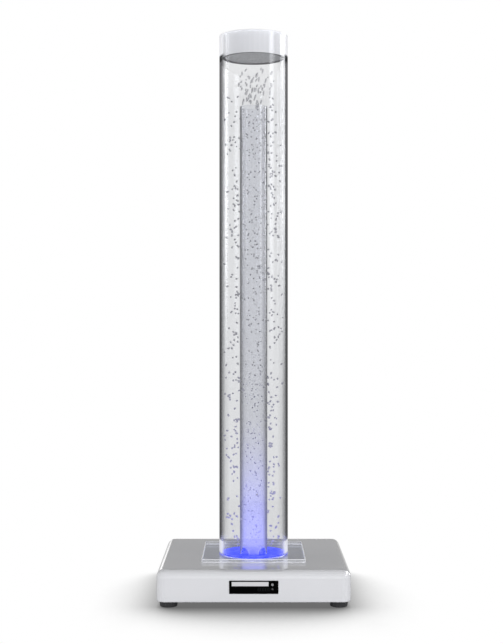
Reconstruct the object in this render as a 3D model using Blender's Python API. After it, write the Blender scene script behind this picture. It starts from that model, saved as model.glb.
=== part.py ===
"""Waterless snow tube. A blower in a square base sends air and foam beads up a clear inner tube;
the beads fall back between that and a clear outer tube, over a floor that is lit from below.

Metres, +Z up. The origin is on the ground under the tubes' axis, and the front, with the control
panel, faces -Y.
"""

import math

import bmesh
import bpy
from mathutils import Matrix, Vector

# Fits that all pieces share
GAP = 0.0003
RUNNING_GAP = 0.00005
OVERRUN = 0.002
EMBED = 0.001
MERGE_DISTANCE = 0.000001

# Housing
BASE_WIDTH = 0.400
BASE_HEIGHT = 0.065
BASE_WALL = 0.004
BASE_TOP_RADIUS = 0.016
BASE_CORNER_STEP = 0.003
BASE_LOWER_RADIUS = 0.003
CORNER_BOSS_RADIUS = 0.006

# Base plate and its grille
PLATE_THICKNESS = 0.002
STANDOFF_RADIUS = 0.005
GRILLE_SLOT_WIDTH = 0.004
GRILLE_SLOT_PITCH = 0.008
GRILLE_MARGIN = 0.004
FILTER_RIM_WALL = 0.002
FILTER_RIM_HEIGHT = 0.003

# Feet and their screws
FOOT_HEIGHT = 0.012
FOOT_DIAMETER = 0.038
FOOT_TAPER = 0.001
FOOT_ROUND = 0.002
FOOT_INSET = 0.025
FOOT_RECESS_RADIUS = 0.0055
FOOT_RECESS_DEPTH = 0.006
FOOT_SCREW_RADIUS = 0.002
FOOT_SCREW_BITE = 0.010

# Small screws
SCREW_RADIUS = 0.0014
SCREW_BITE = 0.005
SCREW_HEAD_SHARE = 2.0
SCREW_HEAD_HEIGHT_SHARE = 1.3
SCREW_SOCKET_SHARE = 0.8

# Outer tube and its flange
OUTER_TUBE_DIAMETER = 0.150
OUTER_TUBE_WALL = 0.005
OUTER_TUBE_LENGTH = 1.1312
FLANGE_MARGIN = 0.035
FLANGE_THICKNESS = 0.006
FLANGE_CORNER_RADIUS = 0.004
FLANGE_EDGE_RADIUS = 0.001

# Lit floor
FLOOR_RIM_THICKNESS = 0.0031
FLOOR_BOSS_DEPTH = 0.006
FLOOR_FALL = 0.003
FLOOR_LAND = 0.002
FLOOR_LEDGE = 0.005
FLOOR_GROOVE_DEPTH = 0.002

# Inner tube
INNER_TUBE_DIAMETER = 0.060
INNER_TUBE_WALL = 0.003
BEAD_TURNING_HEIGHT = 0.1063
ARCH_WIDTH = 0.024
ARCH_HEIGHT = 0.015
ARCH_TURN = math.radians(45.0)

# Air nozzle and its screen
NOZZLE_NECK_RADIUS = 0.0205
NOZZLE_FLANGE_RADIUS = 0.0255
NOZZLE_FLANGE_THICKNESS = 0.003
NOZZLE_SPIGOT = 0.010
NOZZLE_WALL = 0.002
NOZZLE_RISE = 0.010
NOZZLE_TIP_RADIUS = 0.0155
SCREEN_THICKNESS = 0.0008
SCREEN_SLOT_WIDTH = 0.0018
SCREEN_SLOT_PITCH = 0.0036
SCREEN_MARGIN = 0.003
SCREEN_LEDGE = 0.0015

# Cap
CAP_HEIGHT = 0.048
CAP_LIP = 0.0012
CAP_WALL = 0.004
CAP_STEP = 0.002
CAP_FILTER_THICKNESS = 0.008
FILTER_RING_WIDTH = 0.005
FILTER_RING_HEIGHT = 0.002
CAP_VENTS = 12
CAP_VENT_WIDTH = 0.005
CAP_VENT_INNER_SHARE = 0.35
CAP_VENT_OUTER_SHARE = 0.80

# Light well and lamps
WELL_WALL = 0.0015
WELL_FLANGE_WIDTH = 0.014
WELL_BOSS_HEIGHT = 0.004
WELL_BOSS_RADIUS = 0.005
WELL_SCREWS = 3
LAMP_BOARD_THICKNESS = 0.0016
LAMP_COUNT = 12
LAMP_SIDE = 0.005
LAMP_HEIGHT = 0.002
LAMP_CIRCLE_SHARE = 0.68
LAMP_BOARD_INNER_RADIUS = 0.024

# Blower
IMPELLER_RADIUS = 0.036
IMPELLER_HEIGHT = 0.020
IMPELLER_WALL = 0.0015
IMPELLER_HEADROOM = 0.0025
BLADE_COUNT = 20
BLADE_THICKNESS = 0.0010
BLADE_DEPTH = 0.008
BLADE_SWEEP = math.radians(11.0)
SHROUD_WIDTH = 0.003
MOTOR_RADIUS = 0.013
MOTOR_HEIGHT = 0.0165
MOTOR_CLEARANCE = 0.001
SHAFT_RADIUS = 0.0015
SHAFT_BOSS_RADIUS = 0.0035
SHAFT_BOSS_HEIGHT = 0.002
BEARING_RADIUS = 0.004
BEARING_HEIGHT = 0.004
BEARING_INSET = 0.001
SCROLL_WALL = 0.002
SCROLL_HEIGHT = 0.028
SCROLL_GROWTH = 0.025
SCROLL_REAR_GAP = 0.003
TONGUE_GAP = 0.003
TONGUE_ANGLE = math.radians(50.0)
OUTLET_WIDTH = 0.036
OUTLET_LENGTH = 0.052
LID_THICKNESS = 0.002
LID_INLET_RADIUS = 0.024
LID_RING_HEIGHT = 0.0015
EAR_RADIUS = 0.005
EAR_HEIGHT = 0.004
EAR_SHARES = (0.19, 0.52, 0.84)
FILTER_THICKNESS = 0.004
FILTER_RADIUS = 0.033
DUCT_WALL = 0.002
DUCT_SOCKET = 0.010

# Control panel, with places counted from its middle, to the right and up
PANEL_WIDTH = 0.1006
PANEL_HEIGHT = 0.0271
PANEL_DROP = 0.0335
PANEL_PROUD = 0.0015
PANEL_CORNER_RADIUS = 0.0015
PANEL_RIM = 0.0023
PANEL_BODY_DEPTH = 0.006
DISPLAY_WIDTH = 0.0756
DISPLAY_HEIGHT = 0.0106
DISPLAY_X = -0.0074
DISPLAY_Z = 0.0060
DISPLAY_RECESS = 0.0002
WINDOW_THICKNESS = 0.0025
BUTTON_X = 0.0380
BUTTON_Z = 0.0054
BUTTON_RADIUS = 0.0025
LAMP_Z = -0.0036
LAMP_LENS_RADIUS = 0.0021
KEY_COUNT = 5
KEY_WIDTH = 0.0041
KEY_HEIGHT = 0.0070
KEY_PITCH = 0.0052
KEY_FIRST_X = 0.0105
KEY_Z = -0.0049
KEY_PROUD = 0.0005
KEY_TRAVEL = 0.0008
KEY_COLLAR = 0.0005
KEY_COLLAR_THICKNESS = 0.0010
KEY_STEM = 0.0007
MICROPHONE_HOLE_RADIUS = 0.0006
MICROPHONE_HOLE_DEPTH = 0.001
MICROPHONE_X = -0.0386
MICROPHONE_Z = -0.0059
MICROPHONE_PITCH = 0.0042
MICROPHONE_COLUMNS = 3
MICROPHONE_ROWS = 2
PANEL_POST_X = 0.0440
PANEL_POST_Z = -0.0075
PANEL_POST_RADIUS = 0.0028

# Control board
BOARD_DEPTH = 0.011
BOARD_THICKNESS = 0.0016
BOARD_OVERHANG = 0.010
BOARD_HEIGHT = 0.022
BOARD_PAD_WIDTH = 0.006
CONNECTOR_WIDTH = 0.008
CONNECTOR_HEIGHT = 0.006
CONNECTOR_DEPTH = 0.007
CONNECTOR_Z = -0.005
CONNECTOR_PITCH = 0.034
CHIP_WIDTH = 0.010
CHIP_THICKNESS = 0.0015
CAPACITOR_RADIUS = 0.004
CAPACITOR_HEIGHT = 0.009
CAPACITOR_X = 0.015
CAPACITOR_PITCH = 0.0105
CHIP_X = -0.017
COMPONENT_Z = 0.004
TACT_SWITCH_WIDTH = 0.0036

# Power inlet
INLET_X = 0.120
INLET_Z = 0.038
INLET_BARREL_RADIUS = 0.0058
INLET_FLANGE_RADIUS = 0.007
INLET_LENGTH = 0.012
INLET_SOCKET_RADIUS = 0.003
INLET_SOCKET_DEPTH = 0.0095
INLET_PIN_RADIUS = 0.001
INLET_NUT_RADIUS = 0.0085
INLET_NUT_THICKNESS = 0.003

# Leads inside the base
LEAD_RADIUS = 0.002
LEAD_SPACING = 0.011

# How finely round shapes are cut
TUBE_STEPS = 40
ROUND_STEPS = 28
SMALL_STEPS = 16
SCREW_STEPS = 10
HOLE_STEPS = 6
SPIRAL_STEPS = 30
BLADE_STEPS = 2
CORNER_STEPS = 5
SHARP_ANGLE = math.radians(35.0)

# Heights that follow from the sizes above
BASE_BOTTOM = FOOT_HEIGHT
BASE_TOP = BASE_BOTTOM + BASE_HEIGHT
ROOF_UNDERSIDE = BASE_TOP - BASE_WALL
PLATE_TOP = BASE_BOTTOM + PLATE_THICKNESS
LID_BOTTOM = PLATE_TOP + GAP + FILTER_THICKNESS + GAP
LID_TOP = LID_BOTTOM + LID_THICKNESS
SCROLL_BOTTOM = LID_TOP + GAP
SCROLL_TOP = SCROLL_BOTTOM + SCROLL_HEIGHT
SCROLL_CEILING = SCROLL_TOP - SCROLL_WALL
DUCT_BOTTOM = SCROLL_BOTTOM - GAP - DUCT_WALL
DUCT_TOP = SCROLL_TOP + GAP + DUCT_WALL
WELL_BOTTOM = DUCT_TOP + GAP
WELL_FLOOR = WELL_BOTTOM + WELL_WALL
FLOOR_RIM_BOTTOM = BASE_TOP + GAP
FLOOR_RIM_TOP = FLOOR_RIM_BOTTOM + FLOOR_RIM_THICKNESS
FLOOR_LOW = FLOOR_RIM_TOP - FLOOR_FALL
FLOOR_GROOVE = FLOOR_LOW - FLOOR_GROOVE_DEPTH
FLOOR_UNDERSIDE = BASE_TOP - FLOOR_BOSS_DEPTH
OUTER_TUBE_BOTTOM = BASE_TOP + GAP
OUTER_TUBE_TOP = OUTER_TUBE_BOTTOM + OUTER_TUBE_LENGTH
CAP_TOP = OUTER_TUBE_TOP + GAP + CAP_LIP
CAP_BOTTOM = CAP_TOP - CAP_HEIGHT
INNER_TUBE_BOTTOM = FLOOR_GROOVE + GAP
INNER_TUBE_TOP = CAP_BOTTOM - BEAD_TURNING_HEIGHT
NOZZLE_FLANGE_TOP = FLOOR_UNDERSIDE - GAP
NOZZLE_FLANGE_BOTTOM = NOZZLE_FLANGE_TOP - NOZZLE_FLANGE_THICKNESS
RISER_TOP = NOZZLE_FLANGE_BOTTOM - GAP
PANEL_Z = BASE_TOP - PANEL_DROP

# Radii and places that follow
OUTER_TUBE_RADIUS = OUTER_TUBE_DIAMETER / 2
OUTER_TUBE_BORE = OUTER_TUBE_RADIUS - OUTER_TUBE_WALL
INNER_TUBE_RADIUS = INNER_TUBE_DIAMETER / 2
INNER_TUBE_BORE = INNER_TUBE_RADIUS - INNER_TUBE_WALL
FLOOR_RADIUS = OUTER_TUBE_BORE - GAP
ROOF_HOLE_RADIUS = FLOOR_RADIUS - FLOOR_LEDGE
WELL_RADIUS = ROOF_HOLE_RADIUS + WELL_WALL
WELL_FLANGE_RADIUS = WELL_RADIUS + WELL_FLANGE_WIDTH
WELL_SCREW_CIRCLE = WELL_RADIUS + WELL_FLANGE_WIDTH / 2
WELL_FLANGE_TOP = ROOF_UNDERSIDE - WELL_BOSS_HEIGHT - GAP
DUCT_INSIDE = OUTLET_WIDTH + 2 * SCROLL_WALL + 2 * GAP
RISER_RADIUS = DUCT_INSIDE / 2 + DUCT_WALL
RISER_BORE = DUCT_INSIDE / 2
SCROLL_START = IMPELLER_RADIUS + TONGUE_GAP
SCROLL_END = SCROLL_START + SCROLL_GROWTH
BLOWER_X = OUTLET_WIDTH / 2 - SCROLL_END
BLOWER_Y = BASE_WIDTH / 2 - BASE_WALL - SCROLL_REAR_GAP - SCROLL_WALL - SCROLL_END
OUTLET_Y = BLOWER_Y - OUTLET_LENGTH
FOOT_PLACE = BASE_WIDTH / 2 - FOOT_INSET
FOOT_CORNERS = {
    "front_left": (-FOOT_PLACE, -FOOT_PLACE),
    "front_right": (FOOT_PLACE, -FOOT_PLACE),
    "rear_left": (-FOOT_PLACE, FOOT_PLACE),
    "rear_right": (FOOT_PLACE, FOOT_PLACE),
}
PANEL_BODY_WIDTH = PANEL_WIDTH - 2 * PANEL_RIM
PANEL_BODY_HEIGHT = PANEL_HEIGHT - 2 * PANEL_RIM
BOARD_WIDTH = PANEL_BODY_WIDTH + 2 * (GAP + BOARD_OVERHANG)
BOARD_BACK = BOARD_DEPTH + BOARD_THICKNESS
KEY_PLACES = [(KEY_FIRST_X + number * KEY_PITCH, KEY_Z) for number in range(KEY_COUNT)]
CONNECTOR_XS = (-CONNECTOR_PITCH, 0.0, CONNECTOR_PITCH)
CAPACITOR_XS = (CAPACITOR_X, CAPACITOR_X + CAPACITOR_PITCH)
INLET_FLANGE_DEPTH = PANEL_PROUD + KEY_PROUD

# Finishes: colour as it shows on a screen, roughness, metallic
SILVER_PAINT = ((0.83, 0.84, 0.86), 0.25, 0.0)
LIGHT_GREY_PLASTIC = ((0.83, 0.83, 0.85), 0.40, 0.0)
CLEAR_ACRYLIC = ((0.93, 0.94, 0.95), 0.03, 0.0)
LIT_FLOOR = ((0.35, 0.38, 1.00), 0.45, 0.0)
BLACK_RUBBER = ((0.16, 0.16, 0.17), 0.75, 0.0)
STEEL = ((0.62, 0.63, 0.64), 0.35, 1.0)
WHITE_PLASTIC = ((0.92, 0.92, 0.92), 0.45, 0.0)
BLACK_PLASTIC = ((0.05, 0.05, 0.06), 0.35, 0.0)
DARK_FOAM = ((0.40, 0.41, 0.42), 0.95, 0.0)
DISPLAY_GLASS = ((0.80, 0.80, 0.82), 0.12, 0.0)
CIRCUIT_BOARD = ((0.07, 0.33, 0.18), 0.50, 0.0)
BLACK_CABLE = ((0.08, 0.08, 0.08), 0.55, 0.0)


def linear(channel):
    """Turn a screen value into the linear value that a shader takes."""
    return channel ** 2.2


def finish_material(name, finish):
    """Make the material of one piece."""
    colour, roughness, metallic = finish
    paint = bpy.data.materials.new(name)
    paint.use_nodes = True
    shader = paint.node_tree.nodes["Principled BSDF"]
    shader.inputs["Base Color"].default_value = (*[linear(part) for part in colour], 1.0)
    shader.inputs["Roughness"].default_value = roughness
    shader.inputs["Metallic"].default_value = metallic
    return paint


def make_piece(name, work, finish=None, place=(0.0, 0.0, 0.0), parent=None):
    """Make a named object from a mesh in the making, with its place counted from its parent."""
    bmesh.ops.recalc_face_normals(work, faces=work.faces)
    mesh = bpy.data.meshes.new(name)
    work.to_mesh(mesh)
    work.free()
    mesh.shade_smooth()
    mesh.set_sharp_from_angle(angle=SHARP_ANGLE)
    piece = bpy.data.objects.new(name, mesh)
    piece.location = place
    piece.parent = parent
    bpy.context.scene.collection.objects.link(piece)
    if finish is not None:
        mesh.materials.append(finish_material(name, finish))
    return piece


def combine(piece, name, work, operation):
    """Cut a shape out of a piece, or grow it on."""
    tool = make_piece(name, work, place=piece.location, parent=piece.parent)
    tool.hide_render = True
    tool.display_type = "WIRE"
    step = piece.modifiers.new(name, "BOOLEAN")
    step.operation = operation
    step.solver = "EXACT"
    step.object = tool


def cut(piece, name, work):
    combine(piece, name, work, "DIFFERENCE")


def grow(piece, name, work):
    combine(piece, name, work, "UNION")


def block(low, high):
    """A box between two corners."""
    work = bmesh.new()
    size = [upper - lower for lower, upper in zip(low, high)]
    middle = [(lower + upper) / 2 for lower, upper in zip(low, high)]
    bmesh.ops.create_cube(work, size=1.0, matrix=Matrix.Translation(middle) @ Matrix.Diagonal((*size, 1.0)))
    return work


def rounded_block(low, high, corner_radius, steps=CORNER_STEPS):
    """A box with its four upright edges rounded."""
    work = block(low, high)
    upright = [edge for edge in work.edges if abs(edge.verts[0].co.z - edge.verts[1].co.z) > MERGE_DISTANCE]
    bmesh.ops.bevel(work, geom=upright, offset=corner_radius, segments=steps, profile=0.5, affect="EDGES")
    return work


def round_rim(work, height, radius, steps=CORNER_STEPS):
    """Round the edges of a shape that lie at one height."""
    level = {vert for vert in work.verts if abs(vert.co.z - height) < MERGE_DISTANCE}
    rim = [edge for edge in work.edges if level.issuperset(edge.verts)]
    bmesh.ops.bevel(work, geom=rim, offset=radius, segments=steps, profile=0.5, affect="EDGES")
    return work


def turned(outline, steps=ROUND_STEPS, place=(0.0, 0.0)):
    """Turn an outline of (radius, height) points about an upright axis. One that starts and ends
    on the axis makes a full body, and any other closes on itself as a ring."""
    work = bmesh.new()
    points = [work.verts.new((radius, 0.0, height)) for radius, height in outline]
    edges = [work.edges.new(pair) for pair in zip(points, points[1:])]
    if outline[0][0] > 0.0:
        edges.append(work.edges.new((points[-1], points[0])))
    bmesh.ops.spin(
        work, geom=points + edges, cent=(0.0, 0.0, 0.0), axis=(0.0, 0.0, 1.0),
        angle=math.tau, steps=steps, use_merge=True,
    )
    bmesh.ops.remove_doubles(work, verts=work.verts, dist=MERGE_DISTANCE)
    bmesh.ops.translate(work, verts=work.verts, vec=(*place, 0.0))
    return work


def rod(radius, low, high, steps=SMALL_STEPS, place=(0.0, 0.0)):
    """A round rod, upright."""
    work = bmesh.new()
    middle = Matrix.Translation((*place, (low + high) / 2))
    bmesh.ops.create_cone(
        work, cap_ends=True, segments=steps, radius1=radius, radius2=radius, depth=high - low, matrix=middle
    )
    return work


def ring(inner, outer, low, high, steps=ROUND_STEPS, place=(0.0, 0.0)):
    """A plain ring or tube, upright."""
    return turned([(inner, low), (outer, low), (outer, high), (inner, high)], steps, place)


def raised(outline, low, high):
    """Raise an outline of (x, y) points from one height to another."""
    work = bmesh.new()
    face = work.faces.new([work.verts.new((x, y, low)) for x, y in outline])
    grown = bmesh.ops.extrude_face_region(work, geom=[face])["geom"]
    upper = [item for item in grown if isinstance(item, bmesh.types.BMVert)]
    bmesh.ops.translate(work, verts=upper, vec=(0.0, 0.0, high - low))
    return work


def gathered(works):
    """Put several shapes in one mesh, to cut or grow them in one go."""
    whole = bmesh.new()
    for work in works:
        bmesh.ops.recalc_face_normals(work, faces=work.faces)
        mesh = bpy.data.meshes.new("gathered")
        work.to_mesh(mesh)
        work.free()
        whole.from_mesh(mesh)
        bpy.data.meshes.remove(mesh)
    return whole


def spun_about_z(work, angle):
    bmesh.ops.rotate(work, verts=work.verts, cent=(0.0, 0.0, 0.0), matrix=Matrix.Rotation(angle, 3, "Z"))
    return work


def facing_front(work, place=(0.0, 0.0, 0.0)):
    """Lay an upright shape down so that its top faces the front, and move it to its place."""
    bmesh.ops.rotate(
        work, verts=work.verts, cent=(0.0, 0.0, 0.0), matrix=Matrix.Rotation(math.radians(90.0), 3, "X")
    )
    bmesh.ops.translate(work, verts=work.verts, vec=place)
    return work


def facing_rear(work, place=(0.0, 0.0, 0.0)):
    """Lay an upright shape down so that its top faces the rear, and move it to its place."""
    bmesh.ops.rotate(
        work, verts=work.verts, cent=(0.0, 0.0, 0.0), matrix=Matrix.Rotation(math.radians(-90.0), 3, "X")
    )
    bmesh.ops.translate(work, verts=work.verts, vec=place)
    return work


def grille_slots(reach, width, pitch, low, high, place):
    """Parallel slots that fill a circle."""
    slots = []
    rows = int((reach - width) / pitch)
    for row in range(-rows, rows + 1):
        across = place[1] + row * pitch
        half_length = math.sqrt(reach ** 2 - (row * pitch) ** 2)
        slots.append(block(
            (place[0] - half_length, across - width / 2, low),
            (place[0] + half_length, across + width / 2, high),
        ))
    return slots


def screw_shape(radius, length, head_down=True):
    """A pan-head screw on the Z axis. Its head's seat is at zero, and its shank runs up or down."""
    head = radius * SCREW_HEAD_SHARE
    depth = radius * SCREW_HEAD_HEIGHT_SHARE
    socket = radius * SCREW_SOCKET_SHARE
    outline = [
        (0.0, -depth + socket), (socket, -depth + socket), (socket, -depth), (head, -depth),
        (head, 0.0), (radius, 0.0), (radius, length), (0.0, length),
    ]
    if not head_down:
        outline = [(across, -height) for across, height in outline]
    return turned(outline, SCREW_STEPS)


def ring_places(count, radius, turn=0.0):
    """Places evenly round a circle about the tubes' axis."""
    angles = [turn + math.tau * number / count for number in range(count)]
    return [(radius * math.cos(angle), radius * math.sin(angle)) for angle in angles]


WELL_SCREW_PLACES = ring_places(WELL_SCREWS, WELL_SCREW_CIRCLE, math.radians(30.0))


def scroll_point(share, extra=0.0):
    """A point of the scroll's spiral, counted from the tongue, about the blower's axis."""
    angle = -TONGUE_ANGLE - share * (math.tau - TONGUE_ANGLE)
    radius = SCROLL_START + share * SCROLL_GROWTH + extra
    return radius * math.cos(angle), radius * math.sin(angle)


def scroll_outline(extra, outlet_extra):
    """The scroll's outline, made larger by a wall or none, with its outlet towards the front."""
    spiral = [scroll_point(number / SPIRAL_STEPS, extra) for number in range(SPIRAL_STEPS + 1)]
    outer_side = SCROLL_END + extra
    inner_side = SCROLL_END - OUTLET_WIDTH - extra
    mouth = -OUTLET_LENGTH - outlet_extra
    return spiral + [(outer_side, mouth), (inner_side, mouth), (inner_side, spiral[0][1] - EMBED)]


EAR_OFFSET = SCROLL_WALL + SCREW_RADIUS * SCREW_HEAD_SHARE + 2 * GAP
EAR_PLACES = [scroll_point(share, EAR_OFFSET) for share in EAR_SHARES]


def build_base_housing():
    corner = BASE_TOP_RADIUS + BASE_CORNER_STEP
    half = BASE_WIDTH / 2
    shell = rounded_block((-half, -half, BASE_BOTTOM), (half, half, BASE_TOP), corner)
    round_rim(shell, BASE_TOP, BASE_TOP_RADIUS)
    round_rim(shell, BASE_BOTTOM, BASE_LOWER_RADIUS, steps=2)
    housing = make_piece("base_housing", shell, SILVER_PAINT)
    inner = half - BASE_WALL
    hollow = rounded_block(
        (-inner, -inner, BASE_BOTTOM - OVERRUN), (inner, inner, ROOF_UNDERSIDE), corner - BASE_WALL
    )
    round_rim(hollow, ROOF_UNDERSIDE, BASE_TOP_RADIUS - BASE_WALL)
    cut(housing, "housing_hollow", hollow)

    boss_top = ROOF_UNDERSIDE + EMBED
    bosses = [
        rod(CORNER_BOSS_RADIUS, PLATE_TOP + GAP, boss_top, SMALL_STEPS, place)
        for place in FOOT_CORNERS.values()
    ]
    for place in WELL_SCREW_PLACES:
        bosses.append(rod(WELL_BOSS_RADIUS, ROOF_UNDERSIDE - WELL_BOSS_HEIGHT, boss_top, SMALL_STEPS, place))
    pad_x = PANEL_BODY_WIDTH / 2 + GAP + BOARD_OVERHANG - BOARD_PAD_WIDTH / 2
    for side in (-1, 1):
        bosses.append(block(
            (side * pad_x - BOARD_PAD_WIDTH / 2, -inner - EMBED, PANEL_Z - BOARD_HEIGHT / 2),
            (side * pad_x + BOARD_PAD_WIDTH / 2, -half + BOARD_DEPTH - GAP, PANEL_Z + BOARD_HEIGHT / 2),
        ))
    grow(housing, "housing_bosses", gathered(bosses))

    screw_hole = FOOT_SCREW_RADIUS + GAP
    holes = [
        rod(screw_hole, BASE_BOTTOM, PLATE_TOP + FOOT_SCREW_BITE + GAP, SCREW_STEPS, place)
        for place in FOOT_CORNERS.values()
    ]
    for place in WELL_SCREW_PLACES:
        bottom = ROOF_UNDERSIDE - WELL_BOSS_HEIGHT
        holes.append(rod(SCREW_RADIUS + GAP, bottom - EMBED, bottom + SCREW_BITE + GAP, SCREW_STEPS, place))
    holes.append(rod(ROOF_HOLE_RADIUS, ROOF_UNDERSIDE - OVERRUN, BASE_TOP + OVERRUN, TUBE_STEPS))
    opening = (PANEL_BODY_WIDTH / 2 + GAP, PANEL_BODY_HEIGHT / 2 + GAP)
    holes.append(block(
        (-opening[0], -half - OVERRUN, PANEL_Z - opening[1]),
        (opening[0], -inner + OVERRUN, PANEL_Z + opening[1]),
    ))
    inlet_hole = rod(INLET_BARREL_RADIUS + GAP, -BASE_WALL - OVERRUN, OVERRUN)
    holes.append(facing_rear(inlet_hole, (INLET_X, half, INLET_Z)))
    cut(housing, "housing_holes", gathered(holes))


def build_base_plate():
    side = BASE_WIDTH / 2 - BASE_WALL - GAP
    corner = BASE_TOP_RADIUS + BASE_CORNER_STEP - BASE_WALL
    sheet = rounded_block((-side, -side, BASE_BOTTOM), (side, side, PLATE_TOP), corner)
    plate = make_piece("base_plate", sheet, STEEL)
    blower = Vector((BLOWER_X, BLOWER_Y))
    ears = [blower + Vector(place) for place in EAR_PLACES]
    root = PLATE_TOP - EMBED
    raised_parts = [rod(STANDOFF_RADIUS, root, LID_BOTTOM - GAP, SMALL_STEPS, ear) for ear in ears]
    rim = FILTER_RADIUS + GAP
    raised_parts.append(ring(
        rim, rim + FILTER_RIM_WALL, root, PLATE_TOP + FILTER_RIM_HEIGHT, ROUND_STEPS, blower
    ))
    grow(plate, "plate_standoffs", gathered(raised_parts))

    holes = [
        rod(FOOT_SCREW_RADIUS + GAP, BASE_BOTTOM - OVERRUN, PLATE_TOP + OVERRUN, SCREW_STEPS, place)
        for place in FOOT_CORNERS.values()
    ]
    holes += [
        rod(SCREW_RADIUS + GAP, LID_BOTTOM - GAP - SCREW_BITE, LID_BOTTOM, SCREW_STEPS, ear) for ear in ears
    ]
    holes += grille_slots(
        FILTER_RADIUS - GRILLE_MARGIN, GRILLE_SLOT_WIDTH, GRILLE_SLOT_PITCH,
        BASE_BOTTOM - OVERRUN, PLATE_TOP + OVERRUN, blower,
    )
    cut(plate, "plate_holes", gathered(holes))


def build_feet():
    """Four rubber feet, each held by a screw through the base plate into a corner boss."""
    top = FOOT_HEIGHT - GAP
    wide = FOOT_DIAMETER / 2
    narrow = wide - FOOT_TAPER
    hole = FOOT_SCREW_RADIUS + GAP
    corner = FOOT_ROUND * (1.0 - math.cos(math.radians(45.0)))
    outline = [
        (hole, top), (hole, FOOT_RECESS_DEPTH), (FOOT_RECESS_RADIUS, FOOT_RECESS_DEPTH),
        (FOOT_RECESS_RADIUS, 0.0), (narrow - FOOT_ROUND, 0.0), (narrow - corner, corner),
        (narrow, FOOT_ROUND), (wide, top),
    ]
    seat = FOOT_RECESS_DEPTH - GAP
    for corner_name, place in FOOT_CORNERS.items():
        make_piece(f"foot_{corner_name}", turned(outline, SMALL_STEPS), BLACK_RUBBER, (*place, 0.0))
        length = PLATE_TOP + FOOT_SCREW_BITE - seat
        screw = screw_shape(FOOT_SCREW_RADIUS, length)
        make_piece(f"foot_screw_{corner_name}", screw, STEEL, (*place, seat))


def build_tube_flange():
    side = OUTER_TUBE_RADIUS + FLANGE_MARGIN
    bottom = BASE_TOP + GAP
    top = bottom + FLANGE_THICKNESS
    plate = rounded_block((-side, -side, bottom), (side, side, top), FLANGE_CORNER_RADIUS, steps=4)
    round_rim(plate, top, FLANGE_EDGE_RADIUS, steps=2)
    flange = make_piece("tube_flange", plate, CLEAR_ACRYLIC)
    cut(flange, "flange_bore", rod(OUTER_TUBE_RADIUS + GAP, bottom - OVERRUN, top + OVERRUN, TUBE_STEPS))


def build_tubes():
    outer = ring(OUTER_TUBE_BORE, OUTER_TUBE_RADIUS, OUTER_TUBE_BOTTOM, OUTER_TUBE_TOP, TUBE_STEPS)
    make_piece("outer_tube", outer, CLEAR_ACRYLIC)
    inner = make_piece(
        "inner_tube",
        ring(INNER_TUBE_BORE, INNER_TUBE_RADIUS, INNER_TUBE_BOTTOM, INNER_TUBE_TOP, ROUND_STEPS),
        CLEAR_ACRYLIC,
    )
    for number in range(2):
        cut(inner, f"bead_arches_{number + 1}", arch_cutter(ARCH_TURN + number * math.pi / 2))


def arch_cutter(turn):
    """A round-topped tunnel across the inner tube's foot, which leaves an arch in each side."""
    half = ARCH_WIDTH / 2
    spring = ARCH_HEIGHT - half
    bow = [math.pi * number / CORNER_STEPS for number in range(CORNER_STEPS + 1)]
    outline = [(half * math.cos(angle), spring + half * math.sin(angle)) for angle in bow]
    outline += [(-half, -FLOOR_GROOVE_DEPTH - OVERRUN), (half, -FLOOR_GROOVE_DEPTH - OVERRUN)]
    reach = INNER_TUBE_RADIUS + OVERRUN
    tunnel = facing_front(raised(outline, -reach, reach), (0.0, 0.0, FLOOR_LOW))
    return spun_about_z(tunnel, turn)


def build_tube_floor():
    boss = ROOF_HOLE_RADIUS - GAP
    hole = NOZZLE_NECK_RADIUS + GAP
    groove_outer = INNER_TUBE_RADIUS + GAP
    groove_inner = INNER_TUBE_BORE - GAP
    outline = [
        (hole, FLOOR_UNDERSIDE), (boss, FLOOR_UNDERSIDE), (boss, FLOOR_RIM_BOTTOM),
        (FLOOR_RADIUS, FLOOR_RIM_BOTTOM), (FLOOR_RADIUS, FLOOR_RIM_TOP),
        (FLOOR_RADIUS - FLOOR_LAND, FLOOR_RIM_TOP), (groove_outer + FLOOR_LAND, FLOOR_LOW),
        (groove_outer, FLOOR_LOW), (groove_outer, FLOOR_GROOVE), (groove_inner, FLOOR_GROOVE),
        (groove_inner, FLOOR_LOW), (hole, FLOOR_LOW),
    ]
    make_piece("tube_floor", turned(outline, TUBE_STEPS), LIT_FLOOR)


def build_nozzle():
    spigot = RISER_BORE - GAP
    bore = spigot - NOZZLE_WALL
    ledge_height = NOZZLE_FLANGE_BOTTOM + GAP + SCREEN_THICKNESS
    shoulder = FLOOR_LOW + GAP
    tip = shoulder + NOZZLE_RISE
    spigot_end = RISER_TOP - NOZZLE_SPIGOT
    outline = [
        (bore, spigot_end), (spigot, spigot_end), (spigot, NOZZLE_FLANGE_BOTTOM),
        (NOZZLE_FLANGE_RADIUS, NOZZLE_FLANGE_BOTTOM), (NOZZLE_FLANGE_RADIUS, NOZZLE_FLANGE_TOP),
        (NOZZLE_NECK_RADIUS, NOZZLE_FLANGE_TOP), (NOZZLE_NECK_RADIUS, shoulder), (NOZZLE_TIP_RADIUS, tip),
        (NOZZLE_TIP_RADIUS - NOZZLE_WALL, tip), (bore - SCREEN_LEDGE, shoulder),
        (bore - SCREEN_LEDGE, ledge_height), (bore, ledge_height),
    ]
    make_piece("air_nozzle", turned(outline), WHITE_PLASTIC)

    screen_bottom = ledge_height - GAP - SCREEN_THICKNESS
    screen = make_piece(
        "nozzle_screen", rod(bore - GAP, screen_bottom, screen_bottom + SCREEN_THICKNESS, ROUND_STEPS), STEEL
    )
    low = screen_bottom - OVERRUN
    high = screen_bottom + SCREEN_THICKNESS + OVERRUN
    reach = bore - GAP - SCREEN_MARGIN
    slots = grille_slots(reach, SCREEN_SLOT_WIDTH, SCREEN_SLOT_PITCH, low, high, (0.0, 0.0))
    cut(screen, "screen_slots", gathered(slots))


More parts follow.
